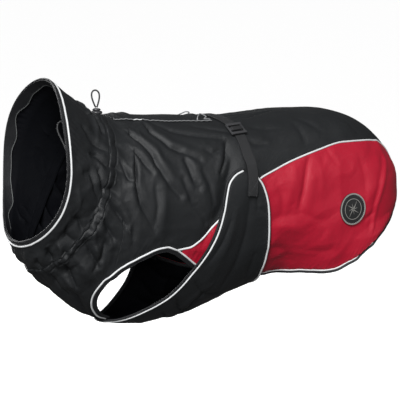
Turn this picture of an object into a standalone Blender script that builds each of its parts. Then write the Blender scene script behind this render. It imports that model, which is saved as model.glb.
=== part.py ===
"""A dog's rain coat, filled out as if it were worn: neck toward -X, rump toward +X, its left side toward -Y.

The origin is on the inner face of the back, over the withers, where a dog's back carries the coat.
Every cloth piece is a wall on one body form. A place on that form is (along, around): millimetres along
the back from the collar's mouth, and degrees around the body from the spine (0) by the left side (90)
to the belly (180).
"""

import math

import bmesh
import bpy
import numpy as np
from mathutils import Matrix, Vector

MM = 0.001

# Driving dimensions, in millimetres
WALL = 1.8  # cloth and lining together
SEAM_GAP = 0.3  # between pieces that are sewn together
PIPING = 2.4  # diameter of the reflective piping
LEG_BAND = 6.5  # width of the black edge band round the legs
FLAP_BAND = 4.6
HEM_BINDING = 3.0
RIM_BAND = 5.5
NECK_CHANNEL = 14.0  # width of the drawcord's tunnel
GATHERS = 30  # gathers round the neck channel
GATHER_DEPTH = 0.8
WEBBING_WIDTH = 14.0
WEBBING = 1.2  # its thickness
BADGE_DIAMETER = 40.0
CORD_DIAMETER = 2.0
LOOP_HEIGHT = 22.0
LOOP_WIDTH = 10.0
LOCK_DIAMETER = 14.0
LOCK_HEIGHT = 7.0

# Heights of the layers over the body form
ON_CLOTH = WALL + SEAM_GAP  # what lies on a body panel
FLAP_LAYER = PIPING + 1.0  # the belly flap lies over the side's piping
ON_FLAP = FLAP_LAYER + PIPING + SEAM_GAP  # the straps lie over the flap's piping

CHANNEL_START = 74.0
CHANNEL_END = CHANNEL_START + NECK_CHANNEL
CHANNEL_GAP = 0.5  # its gathers need a wider gap
BODY_START = CHANNEL_END + CHANNEL_GAP
REAR_HEM = 575.0  # along, at the spine
REAR_HEM_DIP = 44.0  # and how much less it is at the sides
DEGREE = 1.45  # millimetres of cloth in a degree around the body, on average

# A row for each ring of the body form: its highest and lowest point in the middle plane, half its width,
# how much wider it is below (egg), how square it is (2 is round), and how far its sides
# stand back from its plane, in the middle (bow) and more so below (lean).
#   along   top_x  top_z  low_x  low_z  half  egg   square  bow  lean
RINGS = [
    (0,     -74,    48,   -115,  -141,  89,   0.07, 2.00,   6,   18),
    (30,    -51,    29,   -108,  -155,  84,   0.06, 2.00,   11,  12),
    (62,    -28,    10,   -98,   -169,  80,   0.04, 2.00,   13,  5),
    (90,    0,      0,    -86,   -184,  77,   0.00, 2.00,   14,  0),
    (115,   22,     -1,   -62,   -207,  81,   -0.05, 2.00,  12,  0),
    (145,   51,     -3,   -28,   -235,  84,   -0.14, 2.00,  8,   0),
    (180,   86,     -5,   18,    -250,  84,   -0.22, 2.00,  4,   0),
    (230,   136,    -7,   98,    -247,  84,   -0.23, 2.05,  0,   0),
    (280,   186,    -6,   166,   -225,  83,   -0.17, 2.10,  0,   0),
    (320,   228,    -4,   220,   -210,  82,   -0.08, 2.20,  0,   0),
    (363,   273,    -3,   260,   -228,  80,   -0.02, 2.30,   0,   0),
    (410,   322,    -6,   284,   -244,  79,   0.00, 2.30,   0,   0),
    (447,   359,    -18,  290,   -254,  78,   0.00, 2.25,   0,   0),
    (487,   393,    -42,  289,   -259,  77,   0.00, 2.20,   0,   0),
    (529,   416,    -79,  282,   -262,  75,   0.00, 2.15,   0,   0),
    (565,   420,    -116, 268,   -262,  73,   0.00, 2.10,   0,   0),
    (619,   397,    -166, 246,   -258,  70,   0.00, 2.05,   0,   0),
]

# A row for each large fold: its two ends, its half width and its height (a trough is negative).
#   along  around  along  around  width  height
FOLDS = [
    (111,   34,     141,   55,     7,    -1.6),
    (141,   55,     177,   73,     8,    -2.2),
    (140,   30,     197,   51,     8,    -1.8),
    (116,   61,     129,   82,     8,    -1.8),
    (129,   82,     156,   93,     8,    -1.6),
    (180,   52,     197,   68,     8,    -2.4),
    (178,   62,     213,   89,     8,    -1.6),
    (156,   71,     167,   99,     10,    1.4),
    (229,   46,     227,   84,     9,    -3.0),
    (150,   19,     228,   34,     9,    -1.2),
    (270,   45,     287,   48,     8,    -1.2),
    (337,   30,     343,   49,     9,    -1.2),
    (343,   63,     329,   94,     9,    -2.0),
    (322,   64,     312,   90,     9,     1.4),
    (358,   62,     352,   90,     9,     1.4),
    (295,   105,    332,   109,    9,     1.8),
    (329,   99,     365,   100,    8,    -1.2),
    (489,   42,     486,   76,     9,     1.6),
    (64,    30,     66,    80,     9,    -1.8),
    (48,    95,     60,    140,    10,   -1.6),
    (92,    96,     112,   118,    8,    -1.6),
    (98,    122,    108,   140,    8,    -1.6),
    (120,   146,    124,   168,    8,     1.6),
]

# Lines of the cut, as (along, around) places on the left side; the right side is their mirror.
CHEST_SEAM = [(BODY_START, 86), (108, 91), (120, 101), (127, 113), (135, 126)]
LEG_EDGE_BREAST = [(135, 126), (132, 132), (131.5, 139), (134, 148), (140, 156), (148, 162), (157, 167), (165, 169.5)]
LEG_EDGE_BACK = [(135, 126), (139, 119), (146, 113), (157, 107), (167, 103), (179, 101.3), (191, 103)]
COLOUR_SEAM = [
    (191, 103), (203, 101.5), (215, 97.5), (224, 91.5), (240, 82), (257, 74.5), (276, 69), (300, 65.5), (323, 62),
    (351, 57), (394, 50), (417, 47), (441, 42), (460, 36), (480, 29), (500, 23), (525, 18), (550, 15), (573.8, 14),
]
SIDE_HEM = [
    (191, 103), (202, 107), (215, 113), (243, 125), (272, 139), (304, 150), (323, 152), (341, 146), (353, 140),
    (368, 136), (390, 132), (423, 126), (458, 118), (493, 109), (514, 99.5), (526, 92), (533.9, 87),
]
FLAP_FRONT = [
    (250, 61.5), (241, 63), (234, 67), (231.5, 74), (231, 82), (229, 93), (223, 107), (214, 120), (204, 134), (194, 144),
    (184, 154), (174, 164), (167, 172), (165, 180),
]
FLAP_REAR = [
    (268, 67), (276, 73), (281, 79), (290, 98), (294, 111), (298, 127), (300, 142), (302, 152), (303, 166), (303, 180),
]
BELT_LINE = [(243, 0), (246, 10), (253, 24), (257, 40), (260, 56), (262, 66), (262.5, 78)]
BADGE_PLACE = (425, 88)
SLIDER_PLACE = (254, 31)
PLACKET = {"start": 97, "end": 232, "half_width": 15}

BLACK = {"colour": (0.012, 0.013, 0.015), "roughness": 0.5}
RED = {"colour": (0.38, 0.005, 0.02), "roughness": 0.45}
REFLECTIVE = {"colour": (0.55, 0.56, 0.57), "roughness": 0.4}
PLASTIC = {"colour": (0.01, 0.01, 0.011), "roughness": 0.35}


# The body form


def through(rows, at):
    """The smooth curve through a table's rows, whose first column rises, read at these places."""
    rows = np.array(rows, float)
    x, y = rows[:, 0], rows[:, 1:]
    run = np.diff(x)
    rise = np.diff(y, axis=0) / run[:, None]
    slope = np.empty_like(y)
    slope[0], slope[-1] = rise[0], rise[-1]
    slope[1:-1] = (rise[:-1] * run[1:, None] + rise[1:] * run[:-1, None]) / (run[1:] + run[:-1])[:, None]
    i = np.clip(np.searchsorted(x, at, side="right") - 1, 0, len(x) - 2)
    h = run[i][..., None]
    u = (at - x[i])[..., None] / h
    return (
        (2 * u**3 - 3 * u**2 + 1) * y[i]
        + (u**3 - 2 * u**2 + u) * h * slope[i]
        + (3 * u**2 - 2 * u**3) * y[i + 1]
        + (u**3 - u**2) * h * slope[i + 1]
    )


def bare_form(along, around):
    """Points of the smooth form, in millimetres."""
    along, around = np.broadcast_arrays(np.asarray(along, float), np.asarray(around, float))
    ring = through(RINGS, along)
    top_x, top_z, low_x, low_z, half, egg, square, bow, lean = np.moveaxis(ring, -1, 0)
    cos, sin = np.cos(np.radians(around)), np.sin(np.radians(around))
    reach = (np.abs(cos) ** square + np.abs(sin) ** square) ** (-1 / square)
    x = (top_x + low_x) / 2 + (top_x - low_x) / 2 * reach * cos + (bow - lean * cos) * sin**2
    y = -half * reach * sin * (1 - egg * cos)
    z = (top_z + low_z) / 2 + (top_z - low_z) / 2 * reach * cos
    return np.stack([x, y, z], -1)


def slopes(along, around):
    """How a point of the form moves for each millimetre along, and for each degree around."""
    step = 0.25
    by_along = (bare_form(along + step, around) - bare_form(along - step, around)) / (2 * step)
    by_around = (bare_form(along, around + step) - bare_form(along, around - step)) / (2 * step)
    return by_along, by_around


def outward(along, around):
    by_along, by_around = slopes(along, around)
    normal = np.cross(by_around, by_along)
    return normal / np.linalg.norm(normal, axis=-1, keepdims=True)


def fold_height(along, around):
    side = np.abs((around + 180) % 360 - 180)
    total = np.zeros(np.shape(side))
    for along_0, around_0, along_1, around_1, width, height in FOLDS:
        run, drop = along_1 - along_0, (around_1 - around_0) * DEGREE
        a, b = along - along_0, (side - around_0) * DEGREE
        share = np.clip((a * run + b * drop) / (run**2 + drop**2), 0, 1)
        away = np.hypot(a - share * run, b - share * drop)
        total += height * np.exp(-((away / width) ** 2))
    return total


def on_form(along, around, lift=0.0):
    """Points of the folded cloth, raised from the form by lift, in millimetres."""
    along, around = np.broadcast_arrays(np.asarray(along, float), np.asarray(around, float))
    rise = fold_height(along, around) + lift
    return bare_form(along, around) + outward(along, around) * rise[..., None]


# Lines on the form: arrays of (along, around)


def line(places, count, first=None):
    """A smooth line through the places, in count equal steps; first gives its first step a length of its own."""
    places = np.array(places, float)
    reach = np.concatenate([[0], np.cumsum(np.linalg.norm(np.diff(places * [1, DEGREE], axis=0), axis=1))])
    fine = through(np.column_stack([reach, places]), np.linspace(0, reach[-1], 600))
    points = bare_form(fine[:, 0], fine[:, 1])
    length = np.concatenate([[0], np.cumsum(np.linalg.norm(np.diff(points, axis=0), axis=1))])
    if first is None:
        stops = np.linspace(0, length[-1], count + 1)
    else:
        stops = np.concatenate([[0], np.linspace(first, length[-1], count)])
    return np.stack([np.interp(stops, length, fine[:, k]) for k in (0, 1)], axis=1)


def mirrored(places):
    """The same line on the other side of the belly, from its far end."""
    return np.array([(a, 360 - b) for a, b in places[::-1]])


def over_back(places):
    """The same line on the other side of the spine, from its far end."""
    return np.array([(a, -b) for a, b in places[::-1]])


def joined(*lines):
    """Lines end to end, without the points that they share."""
    out = [np.asarray(lines[0], float)]
    for more in lines[1:]:
        more = np.asarray(more, float)
        out.append(more[1:] if np.allclose(out[-1][-1], more[0]) else more)
    return np.concatenate(out)


def nearest(target, found):
    """The places of points near the form, from places close by."""
    found = np.array(found, float)
    for _ in range(8):
        miss = target - bare_form(found[..., 0], found[..., 1])
        by_along, by_around = slopes(found[..., 0], found[..., 1])
        aa, ab, bb = (by_along**2).sum(-1), (by_along * by_around).sum(-1), (by_around**2).sum(-1)
        a, b = (miss * by_along).sum(-1), (miss * by_around).sum(-1)
        found += np.stack([a * bb - b * ab, b * aa - a * ab], -1) / (aa * bb - ab**2)[..., None]
    return found


def shifted(places, by):
    """The line moved sideways on the form, by millimetres toward its right, seen from outside."""
    places = np.asarray(places, float)
    points = bare_form(places[:, 0], places[:, 1])
    way = np.diff(points, axis=0)
    way /= np.linalg.norm(way, axis=1)[:, None]
    ahead = np.concatenate([way[:1], (way[:-1] + way[1:]) / 2, way[-1:]])
    side = np.cross(ahead, outward(places[:, 0], places[:, 1]))
    side *= by / (side**2).sum(1)[:, None]  # further at a corner, to keep the distance from both its sides
    return nearest(points + side, places)


def cut_short(places, start=0.0, end=0.0):
    """The line without its first and last millimetres."""
    points = bare_form(places[:, 0], places[:, 1])
    length = np.concatenate([[0], np.cumsum(np.linalg.norm(np.diff(points, axis=0), axis=1))])
    stops = [start, *[s for s in length if start + 1 < s < length[-1] - end - 1], length[-1] - end]
    return np.stack([np.interp(stops, length, places[:, k]) for k in (0, 1)], axis=1)


def near(place, east, south):
    """Places on the form this far from a place, in millimetres of cloth along and around."""
    place = np.array(place, float)
    by_along, by_around = slopes(place[0], place[1])
    east_way = by_along / np.linalg.norm(by_along)
    south_way = np.cross(east_way, outward(place[0], place[1]))
    if south_way @ by_around < 0:
        south_way = -south_way
    target = bare_form(place[0], place[1]) + np.multiply.outer(east, east_way) + np.multiply.outer(south, south_way)
    return nearest(target, np.broadcast_to(place, (*np.shape(east), 2)))


# Making objects

for old in list(bpy.data.objects):
    bpy.data.objects.remove(old, do_unlink=True)
coat = bpy.data.collections.new("dog_coat")
cutters = bpy.data.collections.new("cutters")
bpy.context.scene.collection.children.link(coat)
bpy.context.scene.collection.children.link(cutters)


def finish(name, look):
    found = bpy.data.materials.new(name)
    found.use_nodes = True
    shader = found.node_tree.nodes["Principled BSDF"]
    shader.inputs["Base Color"].default_value = (*look["colour"], 1)
    shader.inputs["Roughness"].default_value = look["roughness"]
    found.diffuse_color = (*look["colour"], 1)
    return found


def add(name, data, look):
    obj = bpy.data.objects.new(name, data)
    data.materials.append(finish(name, look))
    coat.objects.link(obj)
    return obj


def walled(name, grid, look, low, thick, around_ring=False, wave=None):
    """A closed wall of cloth over a grid of places, from low to low + thick over the form.

    around_ring joins the grid's last column to its first. wave(along, around) adds to its height.
    """
    along, around = grid[..., 0], grid[..., 1]
    rise = wave(along, around) if wave else 0.0
    inner = on_form(along, around, low + rise)
    outer = on_form(along, around, low + rise + thick)
    rows, columns = along.shape
    points = np.concatenate([inner.reshape(-1, 3), outer.reshape(-1, 3)]) * MM
    half = rows * columns

    def at(i, j):
        return i * columns + j % columns

    faces = []
    spans = columns if around_ring else columns - 1
    for i in range(rows - 1):
        for j in range(spans):
            a, b, c, d = at(i, j), at(i + 1, j), at(i + 1, j + 1), at(i, j + 1)
            faces.append((a, b, c, d))
            faces.append((half + d, half + c, half + b, half + a))
    for j in range(spans):
        for i, back in ((0, False), (rows - 1, True)):
            a, b = at(i, j), at(i, j + 1)
            faces.append((half + a, half + b, b, a) if back else (a, b, half + b, half + a))
    if not around_ring:
        for i in range(rows - 1):
            for j, back in ((0, True), (columns - 1, False)):
                a, b = at(i, j), at(i + 1, j)
                faces.append((half + a, half + b, b, a) if back else (a, b, half + b, half + a))
    mesh = bpy.data.meshes.new(name)
    mesh.from_pydata(points.tolist(), [], faces)
    bm = bmesh.new()
    bm.from_mesh(mesh)
    if bm.calc_volume(signed=True) < 0:
        bmesh.ops.reverse_faces(bm, faces=bm.faces)
    bm.to_mesh(mesh)
    bm.free()
    mesh.shade_smooth()
    mesh.set_sharp_from_angle(angle=math.radians(50))
    return add(name, mesh, look)


def between(first, last, count):
    """A grid in count steps from one line to another, which has the same number of places."""
    share = np.linspace(0, 1, count + 1)[:, None, None]
    return first * (1 - share) + last * share


def strip(name, places, start, end, low, thick, look, steps=1):
    """A band beside a line, from start to end millimetres on its right."""
    return walled(name, between(shifted(places, start), shifted(places, end), steps), look, low, thick)


def tube(name, points, diameter, look, closed=False, sides=1):
    """A round cord or piping through points in millimetres."""
    curve = bpy.data.curves.new(name, "CURVE")
    curve.dimensions = "3D"
    curve.bevel_depth = diameter / 2 * MM
    curve.bevel_resolution = sides
    curve.use_fill_caps = not closed
    spline = curve.splines.new("POLY")
    spline.points.add(len(points) - 1)
    for point, place in zip(spline.points, points, strict=True):
        point.co = (*(np.asarray(place) * MM), 1)
    spline.use_cyclic_u = closed
    spline.use_smooth = True
    return add(name, curve, look)


def piping(name, places, low, closed=False, diameter=PIPING):
    points = on_form(places[:, 0], places[:, 1], low + diameter / 2)
    return tube(name, points, diameter, REFLECTIVE, closed)


# The collar

beside_piping = PIPING / 2 + SEAM_GAP


def rings_of(start, end, rows, columns):
    along, around = np.meshgrid(
        np.linspace(start, end, rows + 1), np.arange(columns) * 360 / columns, indexing="ij"
    )
    return np.stack([along, around], -1)


def from_mouth(distance, columns=48):
    """The ring this many millimetres of cloth from the collar's mouth."""
    around = np.arange(columns) * 360 / columns
    along = np.linspace(0, 40, 81)
    steps = np.linalg.norm(np.diff(bare_form(along[:, None], around), axis=0), axis=-1)
    reach = np.concatenate([np.zeros((1, columns)), np.cumsum(steps, axis=0)])
    return np.array([(np.interp(distance, reach[:, k], along), around[k]) for k in range(columns)])


def make_collar():
    seam = RIM_BAND + beside_piping + 0.2
    walled("collar_rim_band", between(from_mouth(0), from_mouth(RIM_BAND), 1), BLACK, 0, WALL, True)
    walled("collar_facing", between(from_mouth(0.6), from_mouth(13), 1), BLACK, -1.3, 1.0, True)
    piping("collar_piping", from_mouth(seam), 0, closed=True)
    start = from_mouth(seam + beside_piping + 0.2)
    end = np.column_stack([np.full(len(start), CHANNEL_START - CHANNEL_GAP), start[:, 1]])
    walled("collar", between(start, end, 5), BLACK, 0, WALL, True)


def gathers(along, around):
    """Gathers of the neck channel: uneven, and flat under the cord lock."""
    angle = np.radians(around)
    uneven = 1 + 0.35 * np.sin(3 * angle + 1) * np.cos(5 * angle)
    flat_top = 1 - np.exp(-((((around + 180) % 360 - 180) / 12) ** 2))
    swell = 0.5 * np.sin((along - CHANNEL_START) / NECK_CHANNEL * np.pi)
    return flat_top * uneven * (swell + GATHER_DEPTH * np.cos(GATHERS * angle + 0.6 * np.sin(4 * angle)))


def make_neck_channel():
    grid = rings_of(CHANNEL_START, CHANNEL_END, 2, 4 * GATHERS)
    walled("neck_channel", grid, BLACK, 0.2, WALL, True, gathers)


# The body panels

leg_edge_breast = line(LEG_EDGE_BREAST, 6)
leg_edge_back = line(LEG_EDGE_BACK, 6)
chest_seam = cut_short(line(CHEST_SEAM, 5), end=2.4)  # to the leg's piping
colour_seam = line(COLOUR_SEAM, 22, first=8)
side_hem = line(SIDE_HEM, 22, first=8)


def rear_hem(around):
    return REAR_HEM - REAR_HEM_DIP * (around / 90) ** 2


def inside_rear_hem(around):
    """How far along a panel goes at the rear, beside the hem's piping."""
    along = rear_hem(around)
    by_along, by_around = slopes(along, around)
    ahead = by_around + by_along * (rear_hem(around + 0.5) - rear_hem(around - 0.5))[:, None]
    width = np.linalg.norm(np.cross(by_along, ahead), axis=-1) / np.linalg.norm(ahead, axis=-1)
    return along - beside_piping / width


def make_back():
    left = joined(
        shifted(chest_seam, -SEAM_GAP / 2),
        shifted(leg_edge_back, -beside_piping)[1:],
        shifted(colour_seam, -beside_piping)[1:],
    )
    left[0, 0] = BODY_START
    corner, mouth = CHEST_SEAM[-1][0], LEG_EDGE_BACK[-1][0]
    spine = np.interp(left[:, 0], [BODY_START, corner, mouth, REAR_HEM], [BODY_START, 118, mouth, REAR_HEM])
    share = np.linspace(-1, 1, 25)[None, :]
    around = left[:, 1:] * share
    along = spine[:, None] + (left[:, :1] - spine[:, None]) * share**2
    along[-1] = inside_rear_hem(around[-1])
    walled("back_panel", np.stack([along, around], -1), BLACK, 0, WALL)


def make_breast():
    left = joined(shifted(chest_seam, SEAM_GAP / 2), shifted(leg_edge_breast, beside_piping)[1:])
    left[0, 0] = BODY_START
    steps = np.linalg.norm(np.diff(left * [1, DEGREE], axis=0), axis=1)
    reach = np.concatenate([[0], np.cumsum(steps)]) / steps.sum()
    belly = BODY_START + (left[-1, 0] - BODY_START) * reach[:, None] ** 1.3
    share = np.linspace(0, 1, 21)[None, :]
    around = left[:, 1:] + (360 - 2 * left[:, 1:]) * share
    along = left[:, :1] + (belly - left[:, :1]) * 4 * share * (1 - share)
    walled("breast_panel", np.stack([along, around], -1), BLACK, 0, WALL)


def make_side(name, flip):
    upper = shifted(colour_seam, beside_piping)[1:]
    lower = shifted(side_hem, -beside_piping)[1:]
    grid = between(upper, lower, 10)
    grid[:, -1, 0] = inside_rear_hem(grid[:, -1, 1])
    walled(name, grid * [1, flip], RED, 0, WALL)


# Edges and seams of the body

hidden_joint = 4  # steps of the side hem that belong to the leg opening


def make_leg_edges(side, flip):
    rim = joined(leg_edge_breast[::-1], leg_edge_back, side_hem[: hidden_joint + 1])
    seam = cut_short(colour_seam, start=3.5, end=3.0)
    piping(f"leg_piping_{side}", rim * [1, flip], 0)
    piping(f"colour_seam_piping_{side}", seam * [1, flip], 0)
    band = between(shifted(rim, beside_piping), shifted(rim, beside_piping + LEG_BAND), 1)
    walled(f"leg_band_{side}", band * [1, flip], BLACK, 0, WALL)


def make_hem():
    side = cut_short(side_hem[hidden_joint:], start=0.5)
    rear = np.array([(rear_hem(b), b) for b in np.linspace(SIDE_HEM[-1][1], 0, 10)])
    half = joined(side, rear)
    whole = joined(half, over_back(half))
    piping("hem_piping", whole, 0)
    strip("hem_binding", whole, beside_piping, beside_piping + HEM_BINDING, 0, WALL, BLACK)


# The belly flap

flap_front = joined(line(FLAP_FRONT, 16), mirrored(line(FLAP_FRONT, 16)))
flap_rear = joined(line(FLAP_REAR, 16), mirrored(line(FLAP_REAR, 16)))


def make_flap():
    front = shifted(flap_front, -beside_piping)
    rear = shifted(flap_rear, beside_piping)
    walled("belly_flap", between(front, rear, 8), BLACK, FLAP_LAYER, WALL)
    piping("flap_front_piping", flap_front, FLAP_LAYER)
    piping("flap_rear_piping", flap_rear, FLAP_LAYER)
    strip("flap_front_band", flap_front, beside_piping, beside_piping + FLAP_BAND, FLAP_LAYER, WALL, BLACK)
    strip("flap_rear_band", flap_rear, -beside_piping - 2, -beside_piping, FLAP_LAYER, WALL, BLACK)


# What lies on the coat


def make_placket():
    half = PLACKET["half_width"]
    along, around = np.meshgrid(
        np.linspace(PLACKET["start"], PLACKET["end"], 12), np.linspace(-half, half, 7), indexing="ij"
    )
    walled("spine_placket", np.stack([along, around], -1), BLACK, ON_CLOTH, 1.0)
    for side, flip in (("left", 1), ("right", -1)):
        edge = np.array([(a, flip * (half + 1.2)) for a in np.linspace(PLACKET["start"], PLACKET["end"], 12)])
        piping(f"placket_piping_{side}", edge, ON_CLOTH, diameter=1.4)


def strap_lift(along, around):
    """A strap climbs from the back on to the flap."""
    share = np.clip((np.abs(around) - 50) / 10, 0, 1)
    return (ON_FLAP - ON_CLOTH) * share**2 * (3 - 2 * share)


def make_straps():
    belt_line = line(BELT_LINE, 40)
    middle = belt_line[belt_line[:, 1] < 33.5]
    whole = joined(over_back(middle), middle)
    edges = between(shifted(whole, -WEBBING_WIDTH / 2), shifted(whole, WEBBING_WIDTH / 2), 1)
    walled("belt_webbing", edges[:, ::2], BLACK, ON_CLOTH, WEBBING)
    tail = belt_line[belt_line[:, 1] > 35]
    for side, flip in (("left", 1), ("right", -1)):
        edges = between(shifted(tail, -WEBBING_WIDTH / 2), shifted(tail, WEBBING_WIDTH / 2), 1)
        walled(f"strap_{side}", edges * [1, flip], BLACK, ON_CLOTH, WEBBING, wave=strap_lift)


def block(name, size, collection):
    """A box of this size in metres, at the origin."""
    mesh = bpy.data.meshes.new(name)
    bm = bmesh.new()
    bmesh.ops.create_cube(bm, size=1)
    bmesh.ops.scale(bm, vec=size, verts=bm.verts)
    bm.to_mesh(mesh)
    bm.free()
    obj = bpy.data.objects.new(name, mesh)
    collection.objects.link(obj)
    return obj


def make_slider(side, flip):
    """A ladder-lock: a plate with two slots, flat on the webbing."""
    length, width, thick = 22 * MM, 19 * MM, 2.4 * MM
    place = np.array(SLIDER_PLACE) * [1, flip]
    by_along, by_around = slopes(*place)
    normal = outward(*place)
    across = by_along / np.linalg.norm(by_along)
    down = np.cross(normal, across)
    lift = ON_CLOTH + WEBBING + SEAM_GAP + 0.3
    frame = Matrix.Identity(4)
    for k, way in enumerate((across, down, normal)):
        frame.col[k] = (*way, 0)
    frame.col[3] = (*((on_form(*place, lift)) * MM + normal * thick / 2), 1)
    plate = block(f"slider_{side}", (length, width, thick), coat)
    plate.data.materials.append(finish(plate.name, PLASTIC))
    plate.matrix_world = frame
    for number, offset in enumerate((-0.24, 0.24)):
        slot = block(f"slot_{side}_{number}", (length * 0.72, width * 0.2, thick * 3), cutters)
        slot.matrix_world = frame @ Matrix.Translation(Vector((0, offset * width, 0)))
        slot.hide_render = True
        slot.display_type = "WIRE"
        cut = plate.modifiers.new(f"slot {number}", "BOOLEAN")
        cut.operation = "DIFFERENCE"
        cut.object = slot


def make_badge():
    """A round badge, a wall on the red panel with its rim turned down a little."""
    radii = np.linspace(2, BADGE_DIAMETER / 2, 4)
    angles = np.arange(28) * 2 * np.pi / 28
    ring, angle = np.meshgrid(radii, angles, indexing="ij")
    places = near(BADGE_PLACE, ring * np.cos(angle), ring * np.sin(angle))
    low = on_form(places[..., 0], places[..., 1], ON_CLOTH)
    high = on_form(places[..., 0], places[..., 1], ON_CLOTH + 1.2)
    bm = bmesh.new()
    layers = []
    for level in (low, high):
        layers.append([[bm.verts.new(Vector(p) * MM) for p in row] for row in level])
    for rows, up in ((layers[0], False), (layers[1], True)):
        for i in range(len(radii) - 1):
            for j in range(len(angles)):
                k = (j + 1) % len(angles)
                face = [rows[i][j], rows[i + 1][j], rows[i + 1][k], rows[i][k]]
                bm.faces.new(face if up else face[::-1])
        bm.faces.new(rows[0] if up else rows[0][::-1])
    for j in range(len(angles)):
        k = (j + 1) % len(angles)
        bm.faces.new([layers[0][-1][j], layers[0][-1][k], layers[1][-1][k], layers[1][-1][j]])
    bmesh.ops.recalc_face_normals(bm, faces=bm.faces)
    mesh = bpy.data.meshes.new("badge")
    bm.to_mesh(mesh)
    bm.free()
    mesh.shade_smooth()
    mesh.set_sharp_from_angle(angle=math.radians(50))
    add("badge", mesh, BLACK)


# The drawcord at the withers

LOCK_AT = Vector((-6.5, -6.0, 5.7))  # the middle of the lock's underside, in millimetres


def make_cord_lock():
    """A turned spring toggle, its profile outer side first, from top to bottom."""
    r, h = LOCK_DIAMETER / 2, LOCK_HEIGHT
    profile = [
        (0.0, h), (r * 0.5, h), (r * 0.62, h * 0.86), (r * 0.66, h * 0.72), (r * 0.9, h * 0.62),
        (r, h * 0.42), (r * 0.92, h * 0.16), (r * 0.7, 0.0), (0.0, 0.0),
    ]
    mesh = bpy.data.meshes.new("neck_cord_lock")
    points = [(x * MM, 0, z * MM) for x, z in profile]
    mesh.from_pydata(points, [(i, i + 1) for i in range(len(points) - 1)], [])
    lock = add("neck_cord_lock", mesh, PLASTIC)
    lock.location = LOCK_AT * MM
    turn = lock.modifiers.new("turn", "SCREW")
    turn.steps = turn.render_steps = 16
    turn.use_merge_vertices = True
    turn.merge_threshold = 0.0001
    turn.use_smooth_shade = True


def make_cord_loop():
    """The drawcord's loop stands on the lock: a tall narrow drop."""
    points = []
    foot = LOCK_AT + Vector((0, 0, LOCK_HEIGHT + SEAM_GAP))
    lean = Vector((math.cos(math.radians(-20)), math.sin(math.radians(-20)), 0))
    for turn in np.linspace(0.06, 0.94, 19):
        angle = turn * 2 * math.pi
        height = LOOP_HEIGHT * (1 - math.cos(angle)) / 2
        sideways = LOOP_WIDTH / 2 * math.sin(angle) * (0.62 - 0.38 * math.cos(angle)) * 1.15
        points.append(foot + lean * (sideways - 0.06 * height) + Vector((0, 0, height)))
    low = min(p.z for p in points) - foot.z
    points = [p - Vector((0, 0, low - CORD_DIAMETER * 0.35)) for p in points]
    tube("neck_cord", points, CORD_DIAMETER, PLASTIC)


make_collar()
make_neck_channel()
make_back()
make_breast()
for side_name, sign in (("left", 1), ("right", -1)):
    make_side(f"side_panel_{side_name}", sign)
    make_leg_edges(side_name, sign)
    make_slider(side_name, sign)
make_hem()
make_flap()
make_placket()
make_straps()
make_badge()
make_cord_lock()
make_cord_loop()
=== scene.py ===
import math

import bmesh
import bpy
import numpy as np
from mathutils import Matrix, Vector


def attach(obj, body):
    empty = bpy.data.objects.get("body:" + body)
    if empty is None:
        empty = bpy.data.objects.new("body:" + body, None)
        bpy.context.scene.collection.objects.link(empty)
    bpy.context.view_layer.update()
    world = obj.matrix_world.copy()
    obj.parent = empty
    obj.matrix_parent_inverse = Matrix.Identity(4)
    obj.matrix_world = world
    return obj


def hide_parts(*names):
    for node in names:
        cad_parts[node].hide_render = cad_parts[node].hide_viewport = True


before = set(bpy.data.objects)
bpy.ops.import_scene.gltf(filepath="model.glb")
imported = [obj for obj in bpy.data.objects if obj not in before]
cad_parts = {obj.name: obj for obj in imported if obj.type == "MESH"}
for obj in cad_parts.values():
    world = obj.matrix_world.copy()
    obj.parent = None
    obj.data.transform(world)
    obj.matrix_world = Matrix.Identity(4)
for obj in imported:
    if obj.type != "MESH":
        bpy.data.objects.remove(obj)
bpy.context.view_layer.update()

# A dog's rain coat, filled out as if worn: neck toward -X, rump toward +X, its left side toward -Y.
# Places on it are (along, around): millimetres along the back from the collar's mouth, and degrees
# around the body from the spine (0) by the left side (90) to the belly (180).
mm = 0.001
body = "root"

# Camera at the photograph's angle

photo = {"width": 400, "height": 400, "focalPixels": 1760, "sensor": 36.0}
view = {"target": (0.138, 0.0, -0.111), "azimuth": -30, "elevation": 8, "distance": 2.2}


def makeCamera():
    data = bpy.data.cameras.new("camera")
    data.sensor_width = photo["sensor"]
    data.lens = photo["sensor"] * photo["focalPixels"] / photo["width"]
    camera = bpy.data.objects.new("camera", data)
    bpy.context.scene.collection.objects.link(camera)
    azimuth, elevation = math.radians(view["azimuth"]), math.radians(view["elevation"])
    back = Vector((math.sin(azimuth), -math.cos(azimuth), 0)) * math.cos(elevation)
    back.z = math.sin(elevation)
    camera.location = Vector(view["target"]) + back * view["distance"]
    camera.rotation_euler = (-back).to_track_quat("-Z", "Y").to_euler()
    bpy.context.scene.camera = camera


makeCamera()

# The body form

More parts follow.
